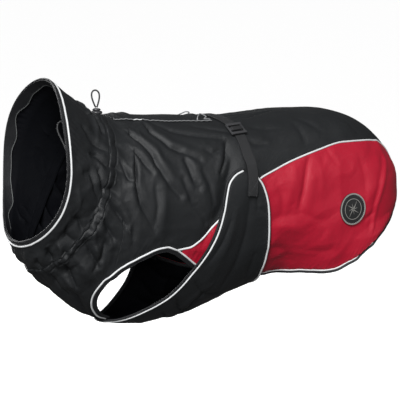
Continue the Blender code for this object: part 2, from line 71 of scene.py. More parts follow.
formRings = [  # along, top x, top z, low x, low z, half width, egg, square, bow, lean
    (0, -74, 48, -115, -141, 89, 0.07, 2.00, 6, 18),
    (30, -51, 29, -108, -155, 84, 0.06, 2.00, 11, 12),
    (62, -28, 10, -98, -169, 80, 0.04, 2.00, 13, 5),
    (90, 0, 0, -86, -184, 77, 0.00, 2.00, 14, 0),
    (115, 22, -1, -62, -207, 81, -0.05, 2.00, 12, 0),
    (145, 51, -3, -28, -235, 84, -0.14, 2.00, 8, 0),
    (180, 86, -5, 18, -250, 84, -0.22, 2.00, 4, 0),
    (230, 136, -7, 98, -247, 84, -0.23, 2.05, 0, 0),
    (280, 186, -6, 166, -225, 83, -0.17, 2.10, 0, 0),
    (320, 228, -4, 220, -210, 82, -0.08, 2.20, 0, 0),
    (363, 273, -3, 260, -228, 80, -0.02, 2.30, 0, 0),
    (410, 322, -6, 284, -244, 79, 0.00, 2.30, 0, 0),
    (447, 359, -18, 290, -254, 78, 0.00, 2.25, 0, 0),
    (487, 393, -42, 289, -259, 77, 0.00, 2.20, 0, 0),
    (529, 416, -79, 282, -262, 75, 0.00, 2.15, 0, 0),
    (565, 420, -116, 268, -262, 73, 0.00, 2.10, 0, 0),
    (619, 397, -166, 246, -258, 70, 0.00, 2.05, 0, 0),
]

coat = {  # millimetres
    "wall": 1.8, "shell": 1.2, "hung": 2.2,  # both layers, the outer one, and a free lining's depth
    "piping": 2.4, "pipingRise": 0.5, "besidePiping": 1.5,
    "seamReach": 0.12, "bandReach": -0.3,  # from a seam to its panel and to its edge band
    "onCloth": 2.1, "flapLayer": 3.4, "onFlap": 6.1,  # heights over the form
    "topstitch": 3.2,
    "channelStart": 74.0, "channelEnd": 88.0, "bodyStart": 88.5, "bodyOverlap": 3,  # along
    "rearHem": 575.0, "rearHemDip": 44.0,
    "degree": 1.45,  # the length of one degree around
}


def through(rows, at):
    rows = np.array(rows, float)
    x, y = rows[:, 0], rows[:, 1:]
    run = np.diff(x)
    rise = np.diff(y, axis=0) / run[:, None]
    slope = np.empty_like(y)
    slope[0], slope[-1] = rise[0], rise[-1]
    slope[1:-1] = (rise[:-1] * run[1:, None] + rise[1:] * run[:-1, None]) / (run[1:] + run[:-1])[:, None]
    i = np.clip(np.searchsorted(x, at, side="right") - 1, 0, len(x) - 2)
    h = run[i][..., None]
    u = (at - x[i])[..., None] / h
    return (
        (2 * u**3 - 3 * u**2 + 1) * y[i]
        + (u**3 - 2 * u**2 + u) * h * slope[i]
        + (3 * u**2 - 2 * u**3) * y[i + 1]
        + (u**3 - u**2) * h * slope[i + 1]
    )


def splined(points, count):  # this many points on a smooth curve through the given ones
    return through([(k, *point) for k, point in enumerate(points)], np.linspace(0, len(points) - 1, count))


def bareForm(along, around):
    along, around = np.broadcast_arrays(np.asarray(along, float), np.asarray(around, float))
    ring = through(formRings, along)
    topX, topZ, lowX, lowZ, half, egg, square, bow, lean = np.moveaxis(ring, -1, 0)
    cos, sin = np.cos(np.radians(around)), np.sin(np.radians(around))
    reach = (np.abs(cos) ** square + np.abs(sin) ** square) ** (-1 / square)
    x = (topX + lowX) / 2 + (topX - lowX) / 2 * reach * cos + (bow - lean * cos) * sin**2
    y = -half * reach * sin * (1 - egg * cos)
    z = (topZ + lowZ) / 2 + (topZ - lowZ) / 2 * reach * cos
    return np.stack([x, y, z], -1)


def slopes(along, around):
    step = 0.25
    byAlong = (bareForm(along + step, around) - bareForm(along - step, around)) / (2 * step)
    byAround = (bareForm(along, around + step) - bareForm(along, around - step)) / (2 * step)
    return byAlong, byAround


def outward(along, around):
    byAlong, byAround = slopes(along, around)
    normal = np.cross(byAround, byAlong)
    return normal / np.linalg.norm(normal, axis=-1, keepdims=True)


# Smooth noise with fixed seeds, for wrinkles that no table lists

hashing = {"places": (73856093, 19349663, 83492791), "seed": 2654435, "mixed": 1274126177}


def cornerValue(cell, seed):
    mixed = seed * hashing["seed"]
    for k, factor in enumerate(hashing["places"]):
        mixed = mixed ^ (cell[..., k] * factor)
    mixed = (mixed ^ (mixed >> 13)) * hashing["mixed"]
    return ((mixed ^ (mixed >> 16)) & 0xFFFF) / 32767.5 - 1


def softNoise(points, size, seed):
    at = np.asarray(points) / size
    cell = np.floor(at).astype(np.int64)
    part = at - cell
    part = part * part * (3 - 2 * part)
    total = 0.0
    for dx in (0, 1):
        for dy in (0, 1):
            for dz in (0, 1):
                share = np.prod(np.where([dx, dy, dz], part, 1 - part), axis=-1)
                total = total + share * cornerValue(cell + [dx, dy, dz], seed)
    return total


def facets(points, size, seed):  # heights joined by flat planes, with sharp edges between them
    at = np.asarray(points) / size
    corner = np.floor(at).astype(np.int64)
    part = at - corner
    order = np.argsort(-part, axis=-1)
    share = np.concatenate([np.take_along_axis(part, order, -1), np.zeros_like(part[..., :1])], -1)
    total = (1 - share[..., 0]) * cornerValue(corner, seed)
    for k in range(3):
        corner = corner + np.eye(3, dtype=np.int64)[order[..., k]]
        total = total + (share[..., k] - share[..., k + 1]) * cornerValue(corner, seed)
    return total


def eased(x):
    x = np.clip(x, 0, 1)
    return x * x * (3 - 2 * x)


def rising(x, start, over):  # from 0 at the start to 1 past this distance
    return eased((x - start) / over)


def turned(around):  # degrees from the spine, -180 to 180
    return (around + 180) % 360 - 180


def fromSpine(around):  # the same on both sides
    return np.abs(turned(around))


# Folds

# The left side's folds, from front to rear. A path is (along, around) places; a trough's height
# is below 0; shoulder is how much of it stands up again beside it, right of the path.
bodyFolds = [  # path, width, height, shoulder
    ([(111, 34), (136, 49), (141, 55), (161, 67), (177, 73)], 4.6, -3.2, 0.6),
    ([(137, 21), (140, 30), (161, 42), (183, 47), (197, 51)], 4.2, -2.8, 0.6),
    ([(113, 50), (126, 57), (137, 62)], 3.8, -2.2, 0.6),
    ([(93, 61), (107, 71), (112, 71)], 3.6, -2.0, 0.5),
    ([(113, 54), (117, 71)], 3.2, -1.8, -0.5),
    ([(114, 61), (119, 74), (128, 82), (144, 88), (156, 93)], 4.6, -2.6, -0.7),
    ([(178, 50), (184, 56), (189, 62), (197, 68)], 4.6, -3.2, 0.7),
    ([(176, 62), (182, 68), (193, 76), (206, 83), (213, 89)], 4.4, -2.4, 0.5),
    ([(154, 70), (160, 84), (167, 99)], 7.0, 2.0, 0.0),
    ([(234, 42), (238, 54), (233, 66), (229, 80), (218, 98)], 9.0, -5.0, 0.0),
    ([(236, 40), (232, 50), (224, 60)], 4.0, -2.4, -0.5),
    ([(146, 18), (169, 28), (200, 33), (233, 36)], 4.8, -1.9, 0.6),
    ([(196, 22), (224, 27), (245, 31)], 4.2, -1.6, 0.5),
    ([(205, 44), (214, 47), (228, 44)], 4.0, -1.5, 0.5),
    ([(200, 58), (210, 66), (218, 78)], 4.5, -1.6, -0.5),
    ([(142, 70), (150, 80), (153, 90)], 4.5, -1.5, 0.5),
    ([(128, 96), (137, 104), (143, 106)], 4.5, -1.4, 0.5),
    ([(267, 42), (275, 45), (287, 46)], 5.0, -1.6, 0.5),
    ([(272, 28), (290, 33), (312, 35)], 6.0, -1.3, 0.5),
    ([(336, 30), (340, 38), (343, 50)], 7.0, -1.6, 0.4),
    ([(345, 27), (357, 33), (370, 41)], 6.0, -1.6, -0.5),
    ([(402, 22), (420, 30), (434, 38)], 7.0, -1.2, 0.5),
    ([(460, 8), (475, 14), (492, 18)], 7.0, -1.2, 0.5),
    ([(289, 12), (318, 9), (350, 15), (388, 27)], 5.0, 1.0, 0.0),
    ([(270, 14), (288, 15), (305, 12), (326, 9)], 3.2, -2.0, 0.7),
    ([(262, 7), (280, 9), (301, 7)], 2.6, -1.3, 0.6),
    ([(343, 62), (339, 68), (335, 76), (328, 95)], 6.5, -3.8, 0.3),
    ([(322, 64), (318, 76), (314, 88)], 7.5, 2.2, 0.0),
    ([(356, 60), (360, 70), (361, 80)], 7.5, 2.0, 0.0),
    ([(297, 105), (315, 108), (334, 110)], 6.5, 2.8, 0.0),
    ([(299, 99), (312, 99), (326, 100)], 5.5, -1.8, 0.0),
    ([(329, 98), (346, 100), (366, 100)], 6.0, -1.8, -0.4),
    ([(372, 54), (379, 60), (388, 64)], 4.5, -1.5, 0.5),
    ([(296, 76), (304, 84), (307, 94)], 5.0, -1.6, 0.5),
    ([(388, 66), (398, 82), (402, 98)], 10.0, 1.2, 0.0),
    ([(430, 56), (446, 68), (452, 80)], 9.0, -1.2, 0.5),
    ([(467, 89), (476, 86), (487, 81)], 5.0, -1.8, 0.5),
    ([(470, 32), (487, 44), (485, 60), (488, 76), (503, 86)], 5.0, 2.8, 0.0),
    ([(482, 40), (476, 58), (479, 76), (490, 88)], 5.0, -2.0, 0.0),
    ([(352, 122), (372, 120), (396, 116)], 7.0, -1.4, 0.5),
    ([(396, 124), (420, 114), (440, 104)], 7.0, 1.3, 0.0),
    ([(306, 122), (322, 128), (336, 138)], 7.0, -1.6, 0.5),
    ([(200, 100), (207, 103), (214, 105)], 4.0, 1.3, 0.0),
]

chestFolds = [
    ([(90, 90), (103, 93), (121, 98)], 4.5, -3.2, 0.6),
    ([(91, 101), (102, 105), (114, 108)], 4.0, -3.5, -0.6),
    ([(91, 112), (98, 116), (108, 120)], 4.5, 3.5, 0.0),
    ([(90, 120), (102, 124), (117, 128)], 4.0, -3.2, 0.6),
    ([(92, 133), (108, 134), (120, 138)], 5.5, 3.2, 0.0),
    ([(91, 142), (101, 146), (115, 150)], 4.0, -3.5, 0.5),
    ([(94, 153), (110, 152), (124, 154)], 6.0, 3.5, 0.0),
    ([(91, 161), (103, 163), (119, 165)], 4.5, -3.0, 0.5),
    ([(124, 158), (138, 166), (150, 174)], 6.0, -2.2, 0.5),
    ([(108, 112), (114, 122), (116, 132)], 4.5, -2.4, 0.5),
    ([(96, 173), (112, 176), (132, 178)], 6.5, 2.4, 0.0),
]

collarFolds = [
    ([(20, 14), (34, 22), (50, 24), (70, 22)], 5.5, -3.1, 0.5),
    ([(56, 8), (60, 22), (63, 40), (60, 52)], 5.0, 2.9, 0.0),
    ([(57, -12), (56, 0), (58, 12)], 5.5, 3.1, 0.0),
    ([(67, 10), (69, 24), (70, 42)], 3.6, -3.1, 0.4),
    ([(34, 50), (50, 54), (70, 57)], 5.5, -2.5, 0.5),
    ([(48, 66), (58, 64), (71, 68)], 4.5, -3.1, -0.5),
    ([(60, 74), (66, 80), (72, 84)], 4.0, -2.9, 0.6),
    ([(34, 84), (46, 80), (60, 88), (72, 92)], 6.0, -2.3, 0.5),
    ([(28, 100), (42, 106), (58, 104), (71, 106)], 6.0, 2.5, 0.0),
    ([(44, 114), (56, 113), (72, 116)], 4.5, -3.1, 0.5),
    ([(36, 124), (50, 128), (70, 126)], 5.5, -2.6, 0.5),
    ([(48, 138), (60, 137), (72, 140)], 5.0, 3.1, 0.0),
    ([(42, 148), (56, 150), (71, 149)], 4.5, -3.1, 0.6),
    ([(50, 160), (60, 163), (71, 162)], 5.0, -2.6, -0.5),
    ([(30, 168), (48, 174), (66, 172)], 7.0, 2.0, 0.0),
]

flapFolds = [
    ([(246, 84), (243, 104), (236, 124)], 8.0, 1.6, 0.0),
    ([(262, 82), (264, 100), (262, 124), (256, 142)], 9.0, -1.4, 0.4),
    ([(240, 90), (236, 102), (229, 112)], 4.5, -1.0, 0.5),
    ([(227, 170), (229, 154), (233, 144), (239, 137)], 5.0, -2.4, 0.6),
    ([(270, 80), (274, 88), (284, 92)], 4.5, -1.0, 0.5),
    ([(254, 132), (262, 146), (266, 164)], 7.0, 1.4, 0.0),
    ([(206, 150), (214, 160), (218, 174)], 6.0, -1.6, 0.5),
    ([(282, 120), (284, 136), (288, 154)], 6.0, -1.2, 0.5),
    ([(190, 160), (198, 170), (200, 182)], 6.0, 1.2, 0.0),
    ([(212, 138), (220, 150), (234, 158), (250, 162)], 4.0, -1.5, 0.6),
    ([(222, 126), (236, 138), (256, 146)], 4.0, -1.2, 0.6),
]

rightSide = {"along": 3.5, "around": 3.0, "height": 0.25}  # how much its folds differ from the left's


def onBothSides(folds):
    both = []
    for k, (path, width, height, shoulder) in enumerate(folds):
        path = np.array(path, float)
        both.append((path, width, height, shoulder))
        shift = [rightSide["along"] * math.sin(2.1 * k + 0.7), rightSide["around"] * math.cos(1.7 * k)]
        other = (path + shift) * [1, -1]
        less = 1 - rightSide["height"] * (0.5 + 0.5 * math.sin(3 * k))
        both.append((other, width, height * less, -shoulder))
    return both


allFolds = onBothSides(bodyFolds + chestFolds + collarFolds)
allFlapFolds = onBothSides(flapFolds)


foldShape = {  # sizes are shares of a fold's width
    "strength": 1.2, "reach": 4.5, "crease": 0.4, "swell": 0.55, "swellAt": 1.25, "swellWidth": 0.85,
    "calmFrom": 260, "calmOver": 60, "calm": 0.45,  # the rear's folds are shallower
}


def foldRise(along, around, folds):
    turn = turned(around)
    total = np.zeros(np.broadcast(along, around).shape)
    for path, width, height, shoulder in folds:
        reach = foldShape["reach"] * width
        inside = (
            (along > path[:, 0].min() - reach) & (along < path[:, 0].max() + reach)
            & (turn > path[:, 1].min() - reach) & (turn < path[:, 1].max() + reach)
        )
        if not inside.any():
            continue
        point = np.stack([along[inside], turn[inside] * coat["degree"]], -1)
        line = path * [1, coat["degree"]]
        away = np.full(len(point), 1e9)
        side = np.zeros(len(point))
        share = np.zeros(len(point))
        whole = np.linalg.norm(np.diff(line, axis=0), axis=1)
        done = 0.0
        for a, b, long in zip(line[:-1], line[1:], whole):
            step = np.clip(((point - a) @ (b - a)) / long**2, 0, 1)
            gap = point - (a + step[:, None] * (b - a))
            far = np.linalg.norm(gap, axis=1)
            nearer = far < away
            away[nearer] = far[nearer]
            side[nearer] = np.sign(gap[:, 0] * (b - a)[1] - gap[:, 1] * (b - a)[0])[nearer]
            share[nearer] = ((done + step * long) / whole.sum())[nearer]
            done += long
        taper = 0.25 + 0.75 * np.sin(np.pi * (0.08 + 0.84 * share)) ** 0.7
        wide = width * (0.75 + 0.5 * taper)
        rearward = rising(path[:, 0].mean(), foldShape["calmFrom"], foldShape["calmOver"])
        calm = 1 - foldShape["calm"] * rearward
        if shoulder:
            # a narrow crease between two soft swells, the higher one on the shoulder's side
            beside = (away - foldShape["swellAt"] * wide) / (foldShape["swellWidth"] * wide)
            swell = np.exp(-(beside**2)) * (1 + 0.6 * side * np.sign(shoulder))
            crease = np.exp(-((away / (foldShape["crease"] * wide)) ** 1.5))
            form = crease - foldShape["swell"] * abs(shoulder) * swell
        else:
            form = 0.6 * np.exp(-((away / wide) ** 2)) + 0.4 * np.exp(-((away / (0.5 * wide)) ** 1.4))
        total[inside] += foldShape["strength"] * calm * height * taper * form
    return total


gathers = {"count": 30, "reach": 14.0, "height": 2.3}


def pinched(angle):  # round ridges, sharp valleys
    return 2 * np.abs(np.sin(angle / 2)) ** 0.9 - 1.2


def gatherWave(around, phase=0.0):
    angle = np.radians(around)
    return (
        0.55 * pinched(23 * angle + 2.6 * np.sin(3 * angle + phase) + phase)
        + 0.3 * pinched(37 * angle + 1.9 * np.sin(5 * angle) + 2 * phase)
        + 0.35 * np.cos(13 * angle + 1.9 * np.cos(4 * angle) + phase)
    )


def gatherRise(along, around):
    turn = fromSpine(around)
    patchy = 0.75 + 0.35 * np.sin(np.radians(around) * 7 + 1.1) * np.sin(np.radians(around) * 4)
    strength = patchy * (0.3 + 0.7 * rising(turn, 25, 40) + 0.35 * np.exp(-(((turn - 95) / 25) ** 2)))
    ahead = np.clip(coat["channelStart"] - along, 0, None)
    behind = np.clip(along - coat["channelEnd"], 0, None)
    uneven = 0.7 + 0.45 * np.sin(np.radians(around) * 11 + 2)
    reach = gathers["reach"] * uneven / (1 - 0.4 * rising(turn, 100, 60))
    drift = 0.10 * ahead - 0.16 * behind  # puckers slant as they fade
    front = np.exp(-ahead / reach) * gatherWave(around + drift, 0.0)
    back = np.exp(-behind / (reach * 1.15)) * gatherWave(around + drift, 0.9)
    return gathers["height"] * strength * np.where(along < coat["channelStart"], front, back)


crumple = {  # sizes in millimetres
    "bend": 24.0, "bendBy": 6, "patch": 52, "broad": 36.0, "size": 17.0, "fine": 8.0,
    "facets": [(24.0, 4.4, 21), (12.0, 0.9, 22)],  # size, height, seed: at the neck and the breast
    "planes": [(50.0, 2.4, 35), (24.0, 1.4, 32)],  # at the rear, where the cloth is taut
}


def crumpleRise(along, around):
    points = bareForm(along, around)
    bend = np.stack([softNoise(points, crumple["bend"], seed) for seed in (5, 6, 7)], -1)
    bent = points + crumple["bendBy"] * bend
    amount = np.clip(0.6 + 0.7 * softNoise(points, crumple["patch"], 11), 0.1, 1.4)
    creased = np.abs(softNoise(bent, crumple["size"], 1))
    creased = creased + 0.4 * np.abs(softNoise(bent, crumple["fine"], 2))
    total = np.zeros(along.shape)
    turn = fromSpine(around)
    low = rising(turn, 80, 28) * (1 - rising(along, 106, 26))
    neck = 0.5 * rising(turn, 20, 30) * (1 - rising(along, 76, 14))
    front = np.maximum(low, neck) * rising(along, 24, 26)
    rear = rising(along, 235, 60) * (0.15 + 0.85 * rising(turn, 14, 24))
    for strength, kinds, squeeze in (
        (front, crumple["facets"], [1.0, 1.0, 0.8]), (rear, crumple["planes"], [0.8, 1.0, 1.2]),
    ):
        some = strength > 0.01
        if some.any():
            for size, height, seed in kinds:
                total[some] += height * strength[some] * facets(bent[some] * squeeze, size, seed)
    most = 1 - rising(along, 130, 130)  # the front is the most crumpled, the rear the smoothest
    creases = (0.4 + 1.5 * most) * amount * (0.4 - creased)
    return total + 0.9 * softNoise(points, crumple["broad"], 3) + creases


flapFront = [
    (250, 61.5), (241, 63), (234, 67), (231.5, 74), (231, 82), (229, 93), (223, 107), (214, 120),
    (204, 134), (194, 144), (184, 154), (174, 164), (167, 172), (165, 180),
]
flapRear = [
    (268, 67), (276, 73), (281, 79), (290, 98), (294, 111), (298, 127), (300, 142), (302, 152),
    (303, 166), (303, 180),
]


def underFlap(along, around):
    turn = fromSpine(around)
    front = np.interp(turn, [b for a, b in flapFront], [a for a, b in flapFront])
    rear = np.interp(turn, [b for a, b in flapRear], [a for a, b in flapRear])
    return eased((along - front + 9) / 9) * eased((rear + 9 - along) / 9) * rising(turn, 56, 6)


def clothRise(along, around):
    along, around = np.broadcast_arrays(np.asarray(along, float), np.asarray(around, float))
    rise = foldRise(along, around, allFolds) + gatherRise(along, around) + crumpleRise(along, around)
    mouth = eased(along / 22)  # the collar's mouth is held by its rim
    held = np.where(rise > 0, 0.8, 0.25) * underFlap(along, around)  # the flap presses the swells flat
    return rise * (1 - held) * (0.25 + 0.75 * mouth)


def flapRise(along, around):
    along, around = np.broadcast_arrays(np.asarray(along, float), np.asarray(around, float))
    smooth = 0.25 * foldRise(along, around, allFolds) + 0.8 * crumpleRise(along, around)
    return smooth + foldRise(along, around, allFlapFolds)


def onCoat(along, around, lift=0.0, rise=clothRise):
    along, around = np.broadcast_arrays(np.asarray(along, float), np.asarray(around, float))
    high = rise(along, around) + lift
    return bareForm(along, around) + outward(along, around) * high[..., None]


# Lines on the form


def lineOn(places, count, first=None):
    places = np.array(places, float)
    steps = np.linalg.norm(np.diff(places * [1, coat["degree"]], axis=0), axis=1)
    reach = np.concatenate([[0], np.cumsum(steps)])
    fine = through(np.column_stack([reach, places]), np.linspace(0, reach[-1], 900))
    points = bareForm(*fine.T)
    length = np.concatenate([[0], np.cumsum(np.linalg.norm(np.diff(points, axis=0), axis=1))])
    if first is None:
        stops = np.linspace(0, length[-1], count + 1)
    else:
        stops = np.concatenate([[0], np.linspace(first, length[-1], count)])
    return np.stack([np.interp(stops, length, fine[:, k]) for k in (0, 1)], axis=1)


def mirrored(places):
    return np.array([(a, 360 - b) for a, b in places[::-1]])


def overBack(places):
    return np.array([(a, -b) for a, b in places[::-1]])


def joined(*lines):
    out = [np.asarray(lines[0], float)]
    for more in lines[1:]:
        more = np.asarray(more, float)
        out.append(more[1:] if np.allclose(out[-1][-1], more[0], atol=0.02) else more)
    return np.concatenate(out)


def nearest(target, found):
    found = np.array(found, float)
    for _ in range(6):
        miss = target - bareForm(found[..., 0], found[..., 1])
        byAlong, byAround = slopes(found[..., 0], found[..., 1])
        aa, ab, bb = (byAlong**2).sum(-1), (byAlong * byAround).sum(-1), (byAround**2).sum(-1)
        a, b = (miss * byAlong).sum(-1), (miss * byAround).sum(-1)
        found += np.stack([a * bb - b * ab, b * aa - a * ab], -1) / (aa * bb - ab**2)[..., None]
    return found


def shifted(places, by):
    places = np.asarray(places, float)
    points = bareForm(*places.T)
    way = np.diff(points, axis=0)
    way /= np.linalg.norm(way, axis=1)[:, None]
    ahead = np.concatenate([way[:1], (way[:-1] + way[1:]) / 2, way[-1:]])
    side = np.cross(ahead, outward(*places.T))
    side *= by / (side**2).sum(1)[:, None]
    return nearest(points + side, places)


def cutShort(places, start=0.0, end=0.0):
    points = bareForm(*places.T)
    length = np.concatenate([[0], np.cumsum(np.linalg.norm(np.diff(points, axis=0), axis=1))])
    stops = [start, *[s for s in length if start + 0.4 < s < length[-1] - end - 0.4], length[-1] - end]
    return np.stack([np.interp(stops, length, places[:, k]) for k in (0, 1)], axis=1)


def near(place, east, south):
    place = np.array(place, float)
    byAlong, byAround = slopes(place[0], place[1])
    eastWay = byAlong / np.linalg.norm(byAlong)
    southWay = np.cross(eastWay, outward(place[0], place[1]))
    if southWay @ byAround < 0:
        southWay = -southWay
    target = bareForm(place[0], place[1]) + np.multiply.outer(east, eastWay)
    target = target + np.multiply.outer(south, southWay)
    return nearest(target, np.broadcast_to(place, (*np.shape(east), 2)))


def between(first, last, count):
    share = np.linspace(0, 1, count + 1)[:, None, None]
    return first * (1 - share) + last * share


chestSeam = [(88.5, 86), (108, 91), (120, 101), (127, 113), (135, 126)]
legEdgeBreast = [
    (135, 126), (132, 132), (131.5, 139), (134, 148), (140, 156), (148, 162), (157, 167), (165, 169.5),
]
legEdgeBack = [(135, 126), (139, 119), (146, 113), (157, 107), (167, 103), (179, 101.3), (191, 103)]
colourSeam = [
    (191, 103), (203, 101.5), (215, 97.5), (224, 91.5), (240, 82), (257, 74.5), (276, 69), (300, 65.5),
    (323, 62), (351, 57), (394, 50), (417, 47), (441, 42), (460, 36), (480, 29), (500, 23), (525, 18),
    (550, 15), (573.8, 14),
]
sideHem = [
    (191, 103), (202, 107), (215, 113), (243, 125), (272, 139), (304, 150), (323, 152), (341, 146),
    (353, 140), (368, 136), (390, 132), (423, 126), (458, 118), (493, 109), (514, 99.5), (526, 92),
    (533.9, 87),
]
beltLine = [(243, 0), (246, 10), (253, 24), (257, 40), (260, 56), (262, 66), (262.5, 78)]


def rearHem(around):
    return coat["rearHem"] - coat["rearHemDip"] * (around / 90) ** 2


legBreastLine = lineOn(legEdgeBreast, 40)
legBackLine = lineOn(legEdgeBack, 44)
chestLine = cutShort(lineOn(chestSeam, 40), end=1.6)  # short of the leg opening's piping
colourLine = lineOn(colourSeam, 150, first=8)
hemLine = lineOn(sideHem, 150, first=8)
rearLine = np.array([(rearHem(b), b) for b in np.linspace(sideHem[-1][1], 0, 70)])
flapFrontLine = joined(lineOn(flapFront, 130), mirrored(lineOn(flapFront, 130)))
flapRearLine = joined(lineOn(flapRear, 130), mirrored(lineOn(flapRear, 130)))
legOpeningSteps = 26  # steps of the side's hem that belong to the leg opening
legRim = joined(legBreastLine[::-1], legBackLine, hemLine[: legOpeningSteps + 1])

# Materials

cloths = {  # colour, roughness, gloss, then the threads' pitch and depth in millimetres
    "nylonBlack": ((0.0117, 0.0127, 0.0138), 0.5, 0.24, 0.62, 0.08),
    "liningBlack": ((0.0022, 0.0025, 0.0036), 0.75, 0.06, 0.45, 0.05),
    "nylonRed": ((0.35, 0.0035, 0.020), 0.46, 0.5, 0.62, 0.08),
    "edgeBlack": ((0.010, 0.0105, 0.012), 0.55, 0.25, 0.5, 0.08),
}
ribbed = {  # rib and cord: the webbing's pitches in millimetres
    "colour": (0.0145, 0.015, 0.0165), "rough": 0.66, "gloss": 0.4, "rib": 1.5, "cord": 0.8, "bump": 0.25,
}
braided = {"colour": (0.016, 0.0165, 0.018), "rough": 0.6, "sheen": 0.1, "braid": 1700.0, "bump": 0.15}

reflective = {"rough": 0.42, "bump": (1400, 2, 0.12), "tint": (60, 3, 0.16)}
thread = {"rough": 0.55, "tint": (2600, 1, 0.25)}
rubbery = {"bump": (1300, 2, 0.08), "tint": (1300, 2, 0.2)}
grains = {  # bump: noise's scale, detail and depth in millimetres; tint: its scale, detail and share
    "pipingGrey": {"colour": (0.56, 0.57, 0.575), **reflective},
    # painted shade: the reflective piping's grey made darker where it lies turned from the light
    "pipingPaintedShade": {"colour": (0.17, 0.173, 0.178), **reflective},  # where it lies turned from the light
    "plasticBlack": {
        "colour": (0.034, 0.0345, 0.037), "rough": 0.34, "bump": (1800, 2, 0.05),
        "scuffs": (240, 4, 0.28, 0.46),  # noise's scale and detail, least and most roughness
    },
    "threadBlack": {"colour": (0.014, 0.0145, 0.016), **thread},
    "threadGrey": {"colour": (0.3, 0.3, 0.31), **thread},
    "overcastGrey": {"colour": (0.10, 0.105, 0.105), **thread},
    "badgeBlack": {"colour": (0.012, 0.0125, 0.013), "rough": 0.5, **rubbery},
    "badgeGrey": {"colour": (0.22, 0.215, 0.20), "rough": 0.55, **rubbery},
}
oncePerMm = 0.314  # the scale at which a wave texture repeats every millimetre


def nodeIn(tree, kind, x, y, **values):
    node = tree.nodes.new(kind)
    node.location = (x, y)
    for name, value in values.items():
        setattr(node, name, value)
    return node


def wired(tree, *links):  # each link: a node, its output, the next node, its input
    for source, output, target, entry in links:
        tree.links.new(source.outputs[output], target.inputs[entry])


def maths(tree, operation, first, second, x, y):
    node = nodeIn(tree, "ShaderNodeMath", x, y, operation=operation)
    tree.links.new(first, node.inputs[0])
    tree.links.new(second, node.inputs[1])
    return node.outputs[0]


def newMaterial(name, colour, rough):
    material = bpy.data.materials.new(name)
    material.use_nodes = True
    material.diffuse_color = (*colour, 1)
    shader = material.node_tree.nodes["Principled BSDF"]
    shader.inputs["Base Color"].default_value = (*colour, 1)
    shader.inputs["Roughness"].default_value = rough
    place = nodeIn(material.node_tree, "ShaderNodeTexCoord", -1400, 0)
    return material, material.node_tree, shader, place


def noiseIn(tree, vector, scale, x, y, detail=3.0):
    noise = nodeIn(tree, "ShaderNodeTexNoise", x, y)
    noise.inputs["Scale"].default_value = scale
    noise.inputs["Detail"].default_value = detail
    tree.links.new(vector, noise.inputs["Vector"])
    return noise.outputs["Fac"]


def roughVaried(tree, shader, value, low, high, x, y):
    node = nodeIn(tree, "ShaderNodeMapRange", x, y)
    node.inputs["To Min"].default_value = low
    node.inputs["To Max"].default_value = high
    tree.links.new(value, node.inputs["Value"])
    tree.links.new(node.outputs["Result"], shader.inputs["Roughness"])


def colourVaried(tree, shader, colour, amount, value, x, y):
    mix = nodeIn(tree, "ShaderNodeMix", x, y, data_type="RGBA")
    mix.inputs["A"].default_value = (*[c * (1 - amount) for c in colour], 1)
    mix.inputs["B"].default_value = (*[min(1, c * (1 + amount)) for c in colour], 1)
    tree.links.new(value, mix.inputs["Factor"])
    tree.links.new(mix.outputs["Result"], shader.inputs["Base Color"])


def bumped(tree, shader, height, depth, x, y, strength=None, under=None):
    bump = nodeIn(tree, "ShaderNodeBump", x, y)
    bump.inputs["Distance"].default_value = depth * mm
    if strength is not None:
        bump.inputs["Strength"].default_value = strength
    if under is not None:
        tree.links.new(under, bump.inputs["Normal"])
    tree.links.new(height, bump.inputs["Height"])
    tree.links.new(bump.outputs["Normal"], shader.inputs["Normal"])
    return bump.outputs["Normal"]


def inMillimetres(tree, place):
    scaled = nodeIn(tree, "ShaderNodeMapping", -1200, 0)
    scaled.inputs["Scale"].default_value = (1000, 1000, 1000)
    tree.links.new(place.outputs["UV"], scaled.inputs["Vector"])
    return scaled.outputs["Vector"]


def waveIn(tree, vector, pitch, direction, y):
    wave = nodeIn(tree, "ShaderNodeTexWave", -980, y, bands_direction=direction)
    wave.inputs["Scale"].default_value = oncePerMm / pitch
    tree.links.new(vector, wave.inputs["Vector"])
    return wave


def wovenCloth(name):
    colour, rough, gloss, pitch, depth = cloths[name]
    material, tree, shader, place = newMaterial(name, colour, rough)
    shader.inputs["Specular IOR Level"].default_value = gloss
    vector = inMillimetres(tree, place)
    threads = []
    for direction, y in (("X", 200), ("Y", -20)):
        wave = waveIn(tree, vector, pitch, direction, y)
        wave.inputs["Distortion"].default_value = 0.4
        wave.inputs["Detail Scale"].default_value = 0.3
        threads.append(wave.outputs["Fac"])
    weave = maths(tree, "MAXIMUM", *threads, -760, 100)
    fine = noiseIn(tree, vector, 0.45, -980, -260, 4.0)
    cloudy = noiseIn(tree, place.outputs["Object"], 38.0, -980, -480)
    soft = noiseIn(tree, place.outputs["Object"], 210.0, -980, -700, 2.0)
    tinted = maths(tree, "MULTIPLY", weave, fine, -560, 200)
    colourVaried(tree, shader, colour, 0.16, tinted, -380, 200)
    roughVaried(tree, shader, cloudy, rough - 0.08, rough + 0.08, -560, -260)
    woven = bumped(tree, shader, weave, depth, -380, -60, 0.7)
    bumped(tree, shader, soft, 0.55, -180, -200, 0.35, woven)
    return material


def webbingCloth():
    material, tree, shader, place = newMaterial("webbingBlack", ribbed["colour"], ribbed["rough"])
    shader.inputs["Specular IOR Level"].default_value = ribbed["gloss"]
    vector = inMillimetres(tree, place)
    ribs = waveIn(tree, vector, ribbed["rib"], "Y", 200).outputs["Fac"]
    cords = waveIn(tree, vector, ribbed["cord"], "X", -40).outputs["Fac"]
    both = maths(tree, "MULTIPLY", ribs, cords, -760, 100)
    colourVaried(tree, shader, ribbed["colour"], 0.3, both, -480, 200)
    bumped(tree, shader, both, ribbed["bump"], -300, -100)
    return material


